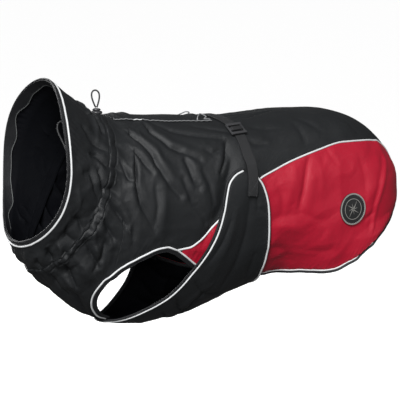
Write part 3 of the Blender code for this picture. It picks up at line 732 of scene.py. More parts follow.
def cordFinish():
    material, tree, shader, place = newMaterial("cordBlack", braided["colour"], braided["rough"])
    shader.inputs["Sheen Weight"].default_value = braided["sheen"]
    braid = nodeIn(tree, "ShaderNodeTexVoronoi", -800, 0)
    braid.inputs["Scale"].default_value = braided["braid"]
    tree.links.new(place.outputs["Object"], braid.inputs["Vector"])
    colourVaried(tree, shader, braided["colour"], 0.35, braid.outputs["Distance"], -400, 100)
    bumped(tree, shader, braid.outputs["Distance"], braided["bump"], -300, -200)
    return material


def grained(name):
    look = grains[name]
    material, tree, shader, place = newMaterial(name, look["colour"], look["rough"])
    vector = place.outputs["Object"]
    if "tint" in look:
        scale, detail, share = look["tint"]
        noise = noiseIn(tree, vector, scale, -800, 0, detail)
        colourVaried(tree, shader, look["colour"], share, noise, -400, 100)
    if "scuffs" in look:
        scale, detail, low, high = look["scuffs"]
        noise = noiseIn(tree, vector, scale, -800, -220, detail)
        roughVaried(tree, shader, noise, low, high, -560, -220)
    if "bump" in look:
        scale, detail, depth = look["bump"]
        noise = noiseIn(tree, vector, scale, -800, -440, detail)
        bumped(tree, shader, noise, depth, -300, -200)
    return material


nylonBlack, liningBlack, nylonRed, edgeBlack = [wovenCloth(name) for name in cloths]
webbingBlack, cordBlack = webbingCloth(), cordFinish()
pipingGrey, pipingPaintedShade, plasticBlack, threadBlack, threadGrey, overcastGrey, badgeBlack, badgeGrey = [
    grained(name) for name in grains
]
print("materials made")

# Making meshes


def newPiece(name, data, replaces=(), materials=()):
    for material in materials:
        data.materials.append(material)
    piece = bpy.data.objects.new(name, data)
    bpy.context.scene.collection.objects.link(piece)
    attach(piece, body)
    if replaces:
        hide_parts(*replaces)
    return piece


def meshFrom(name, points, faces, uv=None, inner=None):
    mesh = bpy.data.meshes.new(name)
    mesh.from_pydata((points * mm).tolist(), [], faces.tolist())
    if uv is not None:
        corners = np.empty(len(mesh.loops), np.int32)
        mesh.loops.foreach_get("vertex_index", corners)
        layer = mesh.uv_layers.new(name="cloth")
        layer.data.foreach_set("uv", (uv[corners] * mm).ravel())
    if inner is not None:
        mesh.polygons.foreach_set("material_index", inner.astype(np.int32))
    a, b, c, d = [points[faces[:, k]] for k in range(4)]
    volume = (np.cross(a, b) * c).sum() + (np.cross(a, c) * d).sum()
    if volume < 0:
        mesh.flip_normals()
    mesh.shade_smooth()
    mesh.set_sharp_from_angle(angle=math.radians(60))
    return mesh


def meshFromBmesh(name, bm, place=None, smooth=True, sharp=None):
    mesh = bpy.data.meshes.new(name)
    bmesh.ops.recalc_face_normals(bm, faces=bm.faces)
    bm.to_mesh(mesh)
    bm.free()
    if place is not None:
        mesh.transform(place)
    if smooth:
        mesh.shade_smooth()
    if sharp is not None:
        mesh.set_sharp_from_angle(angle=math.radians(sharp))
    return mesh


def lengths(points, axis):
    steps = np.linalg.norm(np.diff(points, axis=axis), axis=-1)
    zero = np.zeros_like(np.take(steps, [0], axis=axis))
    return np.concatenate([zero, np.cumsum(steps, axis=axis)], axis=axis)


def closedRows(index, ring):
    return np.concatenate([index, index[:, :1]], axis=1) if ring else index


def quads(index):
    return np.stack([index[:-1, :-1], index[1:, :-1], index[1:, 1:], index[:-1, 1:]], -1).reshape(-1, 4)


def closedWall(low, high, ring=False):
    # points and faces of a wall between two grids of points, and how many faces are on its low side
    rows, columns = low.shape[:2]
    half = rows * columns
    index = closedRows(np.arange(half).reshape(rows, columns), ring)
    sheet = quads(index)
    ends = [(index[0, :-1], index[0, 1:]), (index[-1, 1:], index[-1, :-1])]
    if not ring:
        ends += [(index[1:, 0], index[:-1, 0]), (index[:-1, -1], index[1:, -1])]
    faces = [sheet, sheet[:, ::-1] + half] + [np.stack([p, q, q + half, p + half], -1) for p, q in ends]
    return np.concatenate([low.reshape(-1, 3), high.reshape(-1, 3)]), np.concatenate(faces), len(sheet)


seams = {"roll": 2.2, "sink": 0.9, "puckerReach": 5.0, "puckerLength": 7.5}


def seamRise(away, beside, seed, pucker):
    roll = -seams["sink"] * np.clip(1 - away / seams["roll"], 0, 1) ** 2
    bell = away / seams["puckerReach"] * np.exp(1 - away / seams["puckerReach"])
    wander = softNoise(np.stack([beside, away * 0 + seed, away * 0], -1), 30, seed)
    wave = np.cos(2 * np.pi * beside / seams["puckerLength"] + 5 * wander) * (0.55 + 0.45 * wander)
    return roll + pucker * bell * wave


def clothPiece(
    name, grid, outside, inside, replaces, rise=clothRise, low=None, thick=None, ring=False,
    seamsAt=(), seed=0, plainRows=0, hung=0.0, pucker=0.45,
):
    # a closed wall over a grid of places; seams are at its "first" or "last" row, "left" or "right" column,
    # and beside the first plainRows rows a side seam hardly shows
    thick = coat["shell"] if thick is None else thick
    low = coat["wall"] - thick if low is None else low
    along, around = grid[..., 0], grid[..., 1]
    bare = bareForm(along, around)
    down, across = lengths(bare, 0), lengths(bare, 1)
    total = rise(along, around)
    sides = {
        "first": (down, across), "last": (down[-1:] - down, across),
        "left": (across, down), "right": (across[:, -1:] - across, down),
    }
    plain = np.where(np.arange(len(along)) < plainRows, 0.25, 1.0)[:, None]
    for k, side in enumerate(seamsAt):
        shows = plain if side in ("left", "right") else 1
        total = total + seamRise(*sides[side], seed + k, pucker) * shows
    normal = outward(along, around)
    # a lining that hangs free inside, hung millimetres in, shows few of the folds
    free = hung * rising(along, 14, 14)
    lining = np.minimum(total, total * (1 - 0.85 * free / max(hung, 0.1)) - free)
    inner = bare + normal * (lining + low)[..., None]
    outer = bare + normal * (total + low + thick)[..., None]
    points, faces, lowFaces = closedWall(inner, outer, ring)
    uv = np.concatenate([np.stack([across, down], -1).reshape(-1, 2)] * 2)
    mesh = meshFrom(name, points, faces, uv, np.arange(len(faces)) < lowFaces)
    return newPiece(name, mesh, replaces, [outside, inside])


bandProfile = {"points": 14, "squareWidth": 0.6, "squareHeight": 0.45}


def foldedBand(name, lines, low, thick, replaces, rise=clothRise, ring=False, flare=0.0):
    # a doubled edge band: an oval loop, each of its points on a line of its own across the band.
    # lines(share) gives the line at this share of the band's width.
    loops = []
    uvs = []
    for k in range(bandProfile["points"]):
        turn = 2 * math.pi * k / bandProfile["points"]
        cos, sin = math.cos(turn), math.sin(turn)
        share = 0.5 - 0.5 * math.copysign(abs(cos) ** bandProfile["squareWidth"], cos)
        high = 0.5 + 0.5 * math.copysign(abs(sin) ** bandProfile["squareHeight"], sin)
        places = lines(share)
        loops.append(onCoat(*places.T, low + thick * high + flare * share, rise))
        run = lengths(loops[-1], 0)
        uvs.append(np.stack([run, run * 0 + share * 6 + (3 if sin < 0 else 0)], -1))
    loops = np.array(loops)
    count, long = loops.shape[:2]
    index = closedRows(np.arange(count * long).reshape(count, long), ring)
    index = np.concatenate([index, index[:1]], axis=0)
    faces = quads(index)
    points, uv = loops.reshape(-1, 3), np.array(uvs).reshape(-1, 2)
    for end in () if ring else (0, -1):
        middle = len(points)
        points = np.concatenate([points, points[index[:-1, end]].mean(0, keepdims=True)])
        uv = np.concatenate([uv, uv[index[:-1, end]].mean(0, keepdims=True)])
        fan = index[:, end]
        cap = [(fan[i], middle, fan[i + 2], fan[i + 1]) for i in range(0, count, 2)]
        faces = np.concatenate([faces, np.array(cap)[:, :: 1 if end == 0 else -1]])
    print(f"{name} is {lengths(loops.mean(0), 0)[-1]:.0f} mm long")
    return newPiece(name, meshFrom(name, points, faces, uv), replaces, [edgeBlack])


# Geometry Nodes trees: piping follows a seam, and stitches repeat along it


def newTree(name, **inputs):
    tree = bpy.data.node_groups.new(name, "GeometryNodeTree")
    tree.interface.new_socket("Geometry", in_out="INPUT", socket_type="NodeSocketGeometry")
    for label, kind in inputs.items():
        tree.interface.new_socket(label, in_out="INPUT", socket_type="NodeSocket" + kind)
    tree.interface.new_socket("Geometry", in_out="OUTPUT", socket_type="NodeSocketGeometry")
    given, result = nodeIn(tree, "NodeGroupInput", -900, 0), nodeIn(tree, "NodeGroupOutput", 900, 0)
    curve = nodeIn(tree, "GeometryNodeMeshToCurve", -700, 0)
    real = nodeIn(tree, "GeometryNodeRealizeInstances", 350, 0)
    finish = nodeIn(tree, "GeometryNodeSetMaterial", 600, 0)
    wired(
        tree, (given, "Geometry", curve, "Mesh"), (real, "Geometry", finish, "Geometry"),
        (given, "Finish", finish, "Material"), (finish, "Geometry", result, "Geometry"),
    )
    return tree, given, curve, real


def pipingTree():
    tree, given, curve, real = newTree("pipingAlongSeam", Radius="Float", Sides="Int", Finish="Material")
    circle = nodeIn(tree, "GeometryNodeCurvePrimitiveCircle", -700, -200)
    sweep = nodeIn(tree, "GeometryNodeCurveToMesh", -400, 0)
    sweep.inputs["Fill Caps"].default_value = True
    smooth = nodeIn(tree, "GeometryNodeSetShadeSmooth", -150, 0)
    wired(
        tree, (given, "Radius", circle, "Radius"), (given, "Sides", circle, "Resolution"),
        (curve, "Curve", sweep, "Curve"), (circle, "Curve", sweep, "Profile Curve"),
        (sweep, "Mesh", smooth, "Geometry"), (smooth, "Geometry", real, "Geometry"),
    )
    return tree


def stitchTree():
    tree, given, curve, real = newTree(
        "stitchesAlongSeam", Pitch="Float", Length="Float", Radius="Float", Finish="Material",
    )
    points = nodeIn(tree, "GeometryNodeResampleCurve", -500, 0, mode="LENGTH")
    tangent = nodeIn(tree, "GeometryNodeInputTangent", -500, -250)
    turn = nodeIn(tree, "FunctionNodeAlignRotationToVector", -300, -250, axis="Z")
    stitch = nodeIn(tree, "GeometryNodeMeshUVSphere", -500, -450)
    for label, value in (("Segments", 6), ("Rings", 4), ("Radius", 1.0)):
        stitch.inputs[label].default_value = value
    half = nodeIn(tree, "ShaderNodeMath", -700, -650, operation="MULTIPLY")
    half.inputs[1].default_value = 0.5
    size = nodeIn(tree, "ShaderNodeCombineXYZ", -500, -650)
    place = nodeIn(tree, "GeometryNodeInstanceOnPoints", -100, 0)
    wired(
        tree, (curve, "Curve", points, "Curve"), (given, "Pitch", points, "Length"),
        (tangent, "Tangent", turn, "Vector"), (given, "Length", half, 0), (given, "Radius", size, "X"),
        (given, "Radius", size, "Y"), (half, 0, size, "Z"), (points, "Curve", place, "Points"),
        (stitch, "Mesh", place, "Instance"), (turn, "Rotation", place, "Rotation"),
        (size, "Vector", place, "Scale"), (place, "Instances", real, "Geometry"),
    )
    return tree


def grown(name, runs, tree, values, replaces=(), closed=False):
    # runs: lists of points in millimetres, each made a line of edges that the tree grows on
    points, edges = [], []
    for run in runs:
        first = len(points)
        points += (np.asarray(run) * mm).tolist()
        edges += [(first + i, first + i + 1) for i in range(len(run) - 1)]
        if closed:
            edges.append((first + len(run) - 1, first))
    mesh = bpy.data.meshes.new(name)
    mesh.from_pydata(points, edges, [])
    guide = bpy.data.objects.new(name + "_guide", mesh)
    bpy.context.scene.collection.objects.link(guide)
    modifier = guide.modifiers.new("grow", "NODES")
    modifier.node_group = tree
    for item in tree.interface.items_tree:
        if item.in_out == "INPUT" and item.name in values:
            modifier[item.identifier] = values[item.name]
    graph = bpy.context.evaluated_depsgraph_get()
    made = bpy.data.meshes.new_from_object(guide.evaluated_get(graph), depsgraph=graph)
    bpy.data.objects.remove(guide, do_unlink=True)
    bpy.data.meshes.remove(mesh)
    made.name = name
    return newPiece(name, made, replaces)


pipings = pipingTree()
stitching = stitchTree()


def tube(name, runs, diameter, sides, finish, replaces=(), closed=False):
    values = {"Radius": diameter / 2 * mm, "Sides": sides, "Finish": finish}
    return grown(name, runs, pipings, values, replaces, closed)


def piping(
    name, places, node, low=0.0, diameter=coat["piping"], closed=False, rise=clothRise, finish=pipingGrey,
):
    points = onCoat(*places.T, low + diameter / 2 + coat["pipingRise"], rise)
    return tube(name, [points], diameter, 12, finish, [node], closed)


def stitches(name, runs, finish, pitch=3.2, long=2.3, thick=0.28):
    values = {"Pitch": pitch * mm, "Length": long * mm, "Radius": thick * mm, "Finish": finish}
    return grown(name, runs, stitching, values)


stitchRuns = []  # the black thread's rows, collected as the pieces are made


def stitchOn(places, lift, rise=clothRise):
    stitchRuns.append(onCoat(*places.T, lift, rise))


# The collar

collarSizes = {
    "columns": 400, "rimWidth": 5.5, "rimGap": 0.2, "rimStitches": (1.3, 3.9),
    "facing": 13.0, "facingFrom": 1.2, "facingWave": 2.3, "facingStitch": 1.4, "overcast": 1.2,
}


def fromMouth(distance):
    columns = collarSizes["columns"]
    around = np.arange(columns) * 360 / columns
    along = np.linspace(0, 40, 81)
    reach = lengths(bareForm(along[:, None], around), 0)
    distance = np.broadcast_to(distance, columns)
    return np.array([(np.interp(distance[k], reach[:, k], along), around[k]) for k in range(columns)])


def makeCollar():
    seam = collarSizes["rimWidth"] + coat["besidePiping"] + collarSizes["rimGap"]
    start = fromMouth(seam + coat["seamReach"])
    end = np.column_stack([np.full(len(start), coat["channelStart"] + 3), start[:, 1]])
    clothPiece(
        "collarShell", between(start, end, 45), nylonBlack, liningBlack, ["collar"],
        ring=True, seamsAt=("first",), seed=20, hung=coat["hung"],
    )
    foldedBand(
        "collarRim", lambda share: fromMouth(collarSizes["rimWidth"] * share), -0.2, coat["wall"] + 0.4,
        ["collar_rim_band"], ring=True,
    )
    piping("collarPiping", fromMouth(seam), "collar_piping", closed=True)
    around = np.radians(start[:, 1])
    wavy = collarSizes["facingWave"] * (np.sin(9 * around + 1) + 0.7 * np.sin(14 * around))
    edge = collarSizes["facing"] + wavy
    clothPiece(
        "collarFacing", between(fromMouth(collarSizes["facingFrom"]), fromMouth(edge), 8), edgeBlack,
        edgeBlack, ["collar_facing"], low=-1.3, thick=1.0, ring=True,
    )
    overcast = [onCoat(*fromMouth(edge).T, -0.9)]
    tube("facingOvercast", overcast, collarSizes["overcast"], 8, overcastGrey, closed=True)
    for off in collarSizes["rimStitches"]:
        row = onCoat(*fromMouth(off).T, coat["wall"] + 0.25)
        stitchRuns.append(np.concatenate([row, row[:1]]))
    stitchRuns.append(onCoat(*fromMouth(edge - collarSizes["facingStitch"]).T, -1.35))


channelSizes = {
    "columns": 720, "rows": 30, "depth": 0.9, "swell": 1.4, "stitched": 1.0, "stitchedAt": (1.6, 12.6),
}


def channelWander(around):
    angle = np.radians(around)
    low = rising(fromSpine(around), 60, 40)
    return low * (1.1 * np.sin(7 * angle + 1) + 0.8 * np.sin(13 * angle + 2.2))


def channelRise(along, around):
    angle = np.radians(around)
    along = along - channelWander(around)
    uneven = 0.8 + 0.35 * np.sin(3 * angle + 1) * np.cos(5 * angle) + 0.25 * np.sin(11 * angle + 0.5)
    flatTop = 1 - np.exp(-((turned(around) / 12) ** 2))
    share = (along - coat["channelStart"]) / (coat["channelEnd"] - coat["channelStart"])
    swell = channelSizes["swell"] * np.sin(np.clip(share, 0, 1) * np.pi)
    lean = 2.5 * np.sin(2 * angle) + 1.2 * np.sin(9 * angle)
    wave = np.cos(gathers["count"] * angle + 0.6 * np.sin(4 * angle) + 0.9 * lean * share)
    fine = 0.45 * np.cos(71 * angle + 2 * np.sin(7 * angle) + 2 * share)
    front = clothRise(np.full_like(around, coat["channelStart"] - 0.3), around)
    back = clothRise(np.full_like(around, coat["channelEnd"] + 0.3), around)
    within = np.sin(np.clip(share, 0, 1) * np.pi) ** 0.5
    bunched = 0.35 + 0.65 * rising(fromSpine(around), 70, 40)
    tucks = flatTop * uneven * (swell + channelSizes["depth"] * bunched * (wave + fine) * within)
    row = np.minimum(np.abs(share - 0.12), np.abs(share - 0.88))
    row = row * (coat["channelEnd"] - coat["channelStart"])
    stitched = -channelSizes["stitched"] * np.exp(-((row / 1.1) ** 2))
    return front * (1 - eased(share)) + back * eased(share) + tucks + stitched


def makeNeckChannel():
    rows = np.linspace(coat["channelStart"] - 0.8, coat["channelEnd"] + 0.9, channelSizes["rows"] + 1)
    columns = np.arange(channelSizes["columns"]) * 360 / channelSizes["columns"]
    along, around = np.meshgrid(rows, columns, indexing="ij")
    along = along + channelWander(around)
    clothPiece(
        "neckChannelShell", np.stack([along, around], -1), nylonBlack, liningBlack,
        ["neck_channel"], rise=channelRise, low=0.75, thick=1.5, ring=True, hung=coat["hung"],
    )
    turn = np.linspace(0, 360, 481)
    for off in channelSizes["stitchedAt"]:
        ring = np.column_stack([coat["channelStart"] + off + channelWander(turn), turn])
        stitchOn(ring, 2.05, channelRise)


makeCollar()
makeNeckChannel()
print("collar and neck channel made")

# The body panels

bothSides = (("Left", 1), ("Right", -1))  # the name, and what a place's second value is multiplied by


def insideRearHem(around, inset):
    along = rearHem(around)
    byAlong, byAround = slopes(along, around)
    ahead = byAround + byAlong * (rearHem(around + 0.5) - rearHem(around - 0.5))[..., None]
    width = np.linalg.norm(np.cross(byAlong, ahead), axis=-1) / np.linalg.norm(ahead, axis=-1)
    return along - inset / width


def makeBack():
    inset = -coat["seamReach"]
    left = joined(
        shifted(chestLine, -0.05), shifted(legBackLine, inset)[1:], shifted(colourLine, inset)[1:],
    )
    left[0, 0] = coat["bodyStart"] - coat["bodyOverlap"]
    front, rear = coat["bodyStart"] - coat["bodyOverlap"], coat["rearHem"]
    spine = np.interp(left[:, 0], [front, 135, 191, rear], [front, 118, 191, rear])
    share = np.linspace(-1, 1, 191)[None, :]
    around = left[:, 1:] * share
    along = spine[:, None] + (left[:, :1] - spine[:, None]) * share**2
    along[-1] = insideRearHem(around[-1], coat["seamReach"])
    clothPiece(
        "backShell", np.stack([along, around], -1), nylonBlack, liningBlack, ["back_panel"],
        seamsAt=("left", "right", "last"), seed=30, plainRows=len(chestLine),
    )


def makeBreast():
    left = joined(shifted(chestLine, 0.05), shifted(legBreastLine, coat["seamReach"])[1:])
    left[0, 0] = coat["bodyStart"] - coat["bodyOverlap"]
    steps = np.linalg.norm(np.diff(left * [1, coat["degree"]], axis=0), axis=1)
    reach = np.concatenate([[0], np.cumsum(steps)]) / steps.sum()
    belly = left[0, 0] + (left[-1, 0] - left[0, 0]) * reach[:, None] ** 1.3
    share = np.linspace(0, 1, 201)[None, :]
    around = left[:, 1:] + (360 - 2 * left[:, 1:]) * share
    along = left[:, :1] + (belly - left[:, :1]) * 4 * share * (1 - share)
    clothPiece(
        "breastShell", np.stack([along, around], -1), nylonBlack, liningBlack,
        ["breast_panel"], seamsAt=("left", "right"), seed=40, plainRows=len(chestLine),
    )


def makeSide(name, flip):
    upper = shifted(colourLine, coat["seamReach"])[1:]
    lower = shifted(hemLine, -coat["seamReach"])[1:]
    grid = between(upper, lower, 96)
    grid[:, -1, 0] = insideRearHem(grid[:, -1, 1], coat["seamReach"])
    clothPiece(
        f"sideShell{name}", grid * [1, flip], nylonRed, liningBlack,
        [f"side_panel_{name.lower()}"], seamsAt=("first", "last", "right"), seed=50 + flip,
    )


makeBack()
makeBreast()
for sideName, sideFlip in bothSides:
    makeSide(sideName, sideFlip)
print("body panels made")

# Edges and seams

edgeSizes = {  # finished widths
    "legBand": 6.5, "hemBinding": 3.0, "flapFrontBand": 4.6, "flapRearBand": 2.0, "turnedIn": 0.5,
    "legStitches": (2.2, 6.0), "flapFrontStitches": (3.6, -3.4), "flapRearStitch": 3.4,
}


def across(seam, width, way=1, flip=1):  # the lines across an edge band, from its seam outward
    def line(share):
        off = coat["bandReach"] + (edgeSizes[width] + edgeSizes["turnedIn"]) * share
        return shifted(seam, way * off) * [1, flip]

    return line


def makeLegEdges(name, flip):
    side = name.lower()
    piping(f"legPiping{name}", legRim * [1, flip], f"leg_piping_{side}")
    seam = cutShort(colourLine, start=1.0, end=1.5)
    piping(f"colourPiping{name}", seam * [1, flip], f"colour_seam_piping_{side}")
    foldedBand(
        f"legBand{name}", across(legRim, "legBand", flip=flip), -0.1, coat["wall"] + 0.2,
        [f"leg_band_{side}"],
    )
    for off in edgeSizes["legStitches"]:
        stitchOn(shifted(legRim, coat["bandReach"] + off) * [1, flip], coat["wall"] + 0.12)
    for seamLine in (colourLine[4:], legBackLine):
        stitchOn(shifted(seamLine, -coat["topstitch"]) * [1, flip], coat["wall"] - 0.05)


hemRoll = {"half": 0.5, "full": 2.3, "halfFrom": 430, "fullFrom": 492, "outAt": 526}


def rolledUnder(places):  # millimetres by which the rear hem is turned in; it comes out at one place
    along, turn = places[:, 0], np.abs(places[:, 1])
    out = np.exp(-(((along - hemRoll["outAt"]) / 6) ** 2)) * (turn > 84)
    full = rising(along, hemRoll["fullFrom"], 12) * rising(turn, 25, 20) * (1 - 0.85 * out)
    return hemRoll["half"] * rising(along, hemRoll["halfFrom"], 30) + hemRoll["full"] * full


def makeHem():
    half = joined(cutShort(hemLine[legOpeningSteps:], start=0.3), rearLine)
    whole = joined(half, overBack(half))
    under = rolledUnder(whole)
    piping("hemPiping", whole, "hem_piping", -under, 2.0)
    foldedBand(
        "hemBinding", across(whole, "hemBinding"), -0.2 - under, coat["wall"] + 0.4,
        ["hem_binding"], flare=2.2,
    )
    stitchOn(shifted(whole, -coat["topstitch"]), coat["wall"] - 0.1)


def makeFlap():
    front = shifted(flapFrontLine, -coat["seamReach"])
    rear = shifted(flapRearLine, coat["seamReach"])
    clothPiece(
        "bellyFlapShell", between(front, rear, 70), nylonBlack, liningBlack, ["belly_flap"],
        rise=flapRise, low=coat["flapLayer"] + 0.4, thick=1.4, seamsAt=("first", "last"), seed=70,
        pucker=0.14,
    )
    piping("flapFrontPiping", flapFrontLine, "flap_front_piping", coat["flapLayer"], rise=flapRise)
    piping("flapRearPiping", flapRearLine, "flap_rear_piping", coat["flapLayer"], rise=flapRise)
    for label, seam, way in (("Front", flapFrontLine, 1), ("Rear", flapRearLine, -1)):
        name = f"flap{label}Band"
        foldedBand(
            name, across(seam, name, way), coat["flapLayer"] - 0.1, coat["wall"] + 0.2,
            [f"flap_{label.lower()}_band"], rise=flapRise,
        )
    high = coat["flapLayer"] + coat["wall"] + 0.1
    onBand, onPanel = edgeSizes["flapFrontStitches"]
    stitchOn(shifted(flapFrontLine, onBand), high, flapRise)
    stitchOn(shifted(flapFrontLine, onPanel), high - 0.2, flapRise)
    stitchOn(shifted(flapRearLine, edgeSizes["flapRearStitch"]), high - 0.2, flapRise)


for sideName, sideFlip in bothSides:
    makeLegEdges(sideName, sideFlip)
makeHem()
makeFlap()
print("edges and belly flap made")

# Placket, belt, straps and badge

placket = {
    "start": 97, "end": 232, "halfWidth": 15, "thick": 1.0, "piping": 1.2, "loops": 1.5,
    "stitchedIn": 2.2,
    # each run's material: the dark runs are painted shade on the piping, the middle run keeps the piping's
    # own grey
    "pipingRuns": [(97, 125, pipingPaintedShade), (125, 136, pipingGrey), (136, 232, pipingPaintedShade)],
    "humps": [(109, 5, 2.2), (124, 6, 2.6), (221, 4.5, 2.0)],  # place, width, height
    "loop": [  # along, around, lift
        (213, 15, 0), (216, 12, 1.8), (221, 9, 3), (226, 9, 3), (228, 12, 1.6), (224, 14, 1),
        (231, 15, 0.5),
    ],
}


def placketRise(along, around):
    humps = sum(height * np.exp(-(((along - at) / wide) ** 2)) for at, wide, height in placket["humps"])
    loose = 0.5 * np.sin(along / 9) * np.cos(np.radians(around) * 3)
    pucker = 0.25 * np.cos(2 * np.pi * along / 6.5 + 2 * np.sin(along / 14)) * (np.abs(around) / 15) ** 2
    return clothRise(along, around) * 0.8 + humps * np.exp(-((around / 10) ** 2)) + loose * 0.6 + pucker


def makePlacket():
    rows = np.linspace(placket["start"], placket["end"], 121)
    columns = np.linspace(-placket["halfWidth"], placket["halfWidth"], 41)
    along, around = np.meshgrid(rows, columns, indexing="ij")
    clothPiece(
        "placketShell", np.stack([along, around], -1), nylonBlack, nylonBlack,
        ["spine_placket"], rise=placketRise, low=coat["onCloth"], thick=placket["thick"],
    )
    for label, flip in bothSides:
        for number, (start, end, finish) in enumerate(placket["pipingRuns"]):
            run = np.linspace(start, end, int(end - start))
            beside = flip * (placket["halfWidth"] + placket["piping"])
            edge = np.column_stack([run, np.full(len(run), beside)])
            piping(
                f"placketPiping{label}{number}", edge, f"placket_piping_{label.lower()}", coat["onCloth"],
                placket["piping"], rise=placketRise, finish=finish,
            )
        beside = flip * (placket["halfWidth"] - placket["stitchedIn"])
        inner = np.column_stack([rows, np.full(len(rows), beside)])
        stitchOn(inner, coat["onCloth"] + placket["thick"] + 0.05, placketRise)
    # the piping is bunched up in front of the belt; its loops are painted darker than the piping's grey, a
    # painted shade
    along, around, lift = splined(placket["loop"], 49).T
    lift = lift + coat["onCloth"] + placket["piping"]
    loops = [onCoat(along, around * flip, lift, placketRise) for _, flip in bothSides]
    tube("reflectiveLoops", loops, placket["loops"], 10, pipingPaintedShade)


webbing = {"width": 14.0, "thick": 1.2, "upTo": 33.5, "from": 35.0, "boxRows": 20, "boxHalf": 5.4}


def strapRise(along, around):
    share = rising(np.abs(around), 50, 10)
    under = clothRise(along, around) * (1 - share) + flapRise(along, around) * share
    return 0.35 * under + 0.4 + (coat["onFlap"] - coat["onCloth"]) * share


def webbingPiece(name, places, node):
    grid = between(shifted(places, -webbing["width"] / 2), shifted(places, webbing["width"] / 2), 16)
    clothPiece(
        name, grid, webbingBlack, webbingBlack, [node], rise=strapRise, low=coat["onCloth"],
        thick=webbing["thick"],
    )


def makeStraps():
    whole = lineOn(beltLine, 160)
    middle = whole[whole[:, 1] < webbing["upTo"]]
    webbingPiece("beltWebbing", joined(overBack(middle), middle), "belt_webbing")
    tail = whole[whole[:, 1] > webbing["from"]]
    high = coat["onCloth"] + webbing["thick"] + 0.08
    a, b = [shifted(tail[-webbing["boxRows"]:], side * webbing["boxHalf"]) for side in (1, -1)]
    # the box stitch: its sides, its ends and its cross
    box = [a, b] + [np.linspace(a[k], b[k], 12) for k in (0, -1)]
    box += [np.linspace(a[0], b[-1], 16), np.linspace(b[0], a[-1], 16)]
    for label, flip in bothSides:
        webbingPiece(f"strap{label}", (tail * [1, flip])[::flip], f"strap_{label.lower()}")
        for run in box:
            stitchOn(run * [1, flip], high, strapRise)


slider = {
    "place": (254, 31), "length": 22.0, "width": 19.0, "thick": 2.4, "bar": 3.6, "rail": 2.4,
    "railLow": 0.5, "barHigh": 0.7,
    "webbingTurn": (1.5, 2.6, 2.2),  # past the webbing's width, the bar and the slider's thickness
}


def beveledBox(bm, size, at, bevel=0.7):
    made = bmesh.ops.create_cube(bm, size=1)
    bmesh.ops.scale(bm, vec=size, verts=made["verts"])
    bmesh.ops.translate(bm, vec=at, verts=made["verts"])
    edges = {edge for vert in made["verts"] for edge in vert.link_edges}
    bmesh.ops.bevel(bm, geom=list(edges), offset=bevel, segments=3, profile=0.6, affect="EDGES")


def makeSlider(label, flip):
    place = np.array(slider["place"], float) * [1, flip]
    normal = outward(*place)
    across = slopes(*place)[0]
    across = across / np.linalg.norm(across)
    down = np.cross(normal, across)
    lift = coat["onCloth"] + webbing["thick"] + 0.6 + slider["thick"] / 2
    origin = bareForm(*place) + normal * (float(strapRise(*place)) + lift)
    facing = Matrix([Vector(way) for way in (across, down, normal)]).transposed()
    placed = Matrix.Translation(Vector(origin) * mm) @ facing.to_4x4() @ Matrix.Scale(mm, 4)
    long, wide, thick, bar = [slider[key] for key in ("length", "width", "thick", "bar")]
    bm = bmesh.new()
    for side in (-1, 1):
        at = (side * (long - slider["rail"]) / 2, 0, -slider["railLow"])
        beveledBox(bm, (slider["rail"], wide - 1, thick * 0.75), at)
    for side in (-1, 0, 1):
        at = (0, side * (wide - bar) / 2, abs(side) * slider["barHigh"])
        beveledBox(bm, (long - 1, bar, thick * 0.92), at)
    mesh = meshFromBmesh(f"slider{label}", bm, placed, sharp=35)
    newPiece(f"slider{label}", mesh, [f"slider_{label.lower()}"], [plasticBlack])
    size = np.array([webbing["width"], bar, thick]) + slider["webbingTurn"]
    bm = bmesh.new()
    beveledBox(bm, size, (0, 0, 0.3), 1.5)
    mesh = meshFromBmesh(f"webbingTurn{label}", bm, placed)
    newPiece(f"webbingTurn{label}", mesh, (), [webbingBlack])


badge = {
    "place": (425, 88), "diameter": 40.0, "thick": 1.3, "raised": 0.3,
    "rim": (18.4, 19.8), "ring": (12.6, 13.2), "blades": 8,
    "bladeSizes": [(11.2, 1.9), (7.2, 1.4)],  # length and width, in turn
    "stitched": 1.9,
}


def onBadge(radius, angle, lift):
    places = near(badge["place"], radius * np.cos(angle), radius * np.sin(angle))
    along, around = places[..., 0], places[..., 1]
    high = 0.5 * clothRise(along, around) + 0.4 + coat["onCloth"] + lift
    return bareForm(along, around) + outward(along, around) * high[..., None]


def badgeRing(name, radii, lift, thick, material, replaces=(), sides=96):
    angle, radius = np.meshgrid(np.arange(sides) * 2 * np.pi / sides, radii, indexing="xy")
    low, high = onBadge(radius, angle, lift), onBadge(radius, angle, lift + thick)
    points, faces, _ = closedWall(low, high, ring=True)
    newPiece(name, meshFrom(name, points, faces), replaces, [material])


def makeBadge():
    radius, high, raised = badge["diameter"] / 2, badge["thick"] - 0.05, badge["raised"]
    disc = [0.05, 4, 8, 12, 16, 18.6, radius - 0.3, radius]
    badgeRing("badgeDisc", disc, 0, badge["thick"], badgeBlack, ["badge"])
    badgeRing("badgeRim", badge["rim"], high, raised + 0.05, badgeGrey)
    badgeRing("badgeInnerRing", badge["ring"], high, raised, badgeGrey)
    star = bmesh.new()
    root = math.pi / badge["blades"]
    for k in range(badge["blades"]):
        turn = 2 * root * k + 0.1
        long, wide = badge["bladeSizes"][k % 2]
        corners = np.array([long, 1.3 * wide, 0.35]), np.array([turn, turn + root, turn])  # radius, angle
        lows, tops = [
            [star.verts.new(Vector(point) * mm) for point in onBadge(*corners, lift)]
            for lift in (high, high + raised)
        ]
        star.faces.new(tops)
        star.faces.new(lows[::-1])
        for i, j in ((0, 1), (1, 2), (2, 0)):
            star.faces.new([lows[i], lows[j], tops[j], tops[i]])
    newPiece("badgeStar", meshFromBmesh("badgeStar", star, smooth=False), (), [badgeGrey])
    row = onBadge(radius - badge["stitched"], np.linspace(0, 2 * np.pi, 121), badge["thick"])
    stitches("badgeStitches", [row], threadGrey, pitch=2.6, long=1.7, thick=0.22)


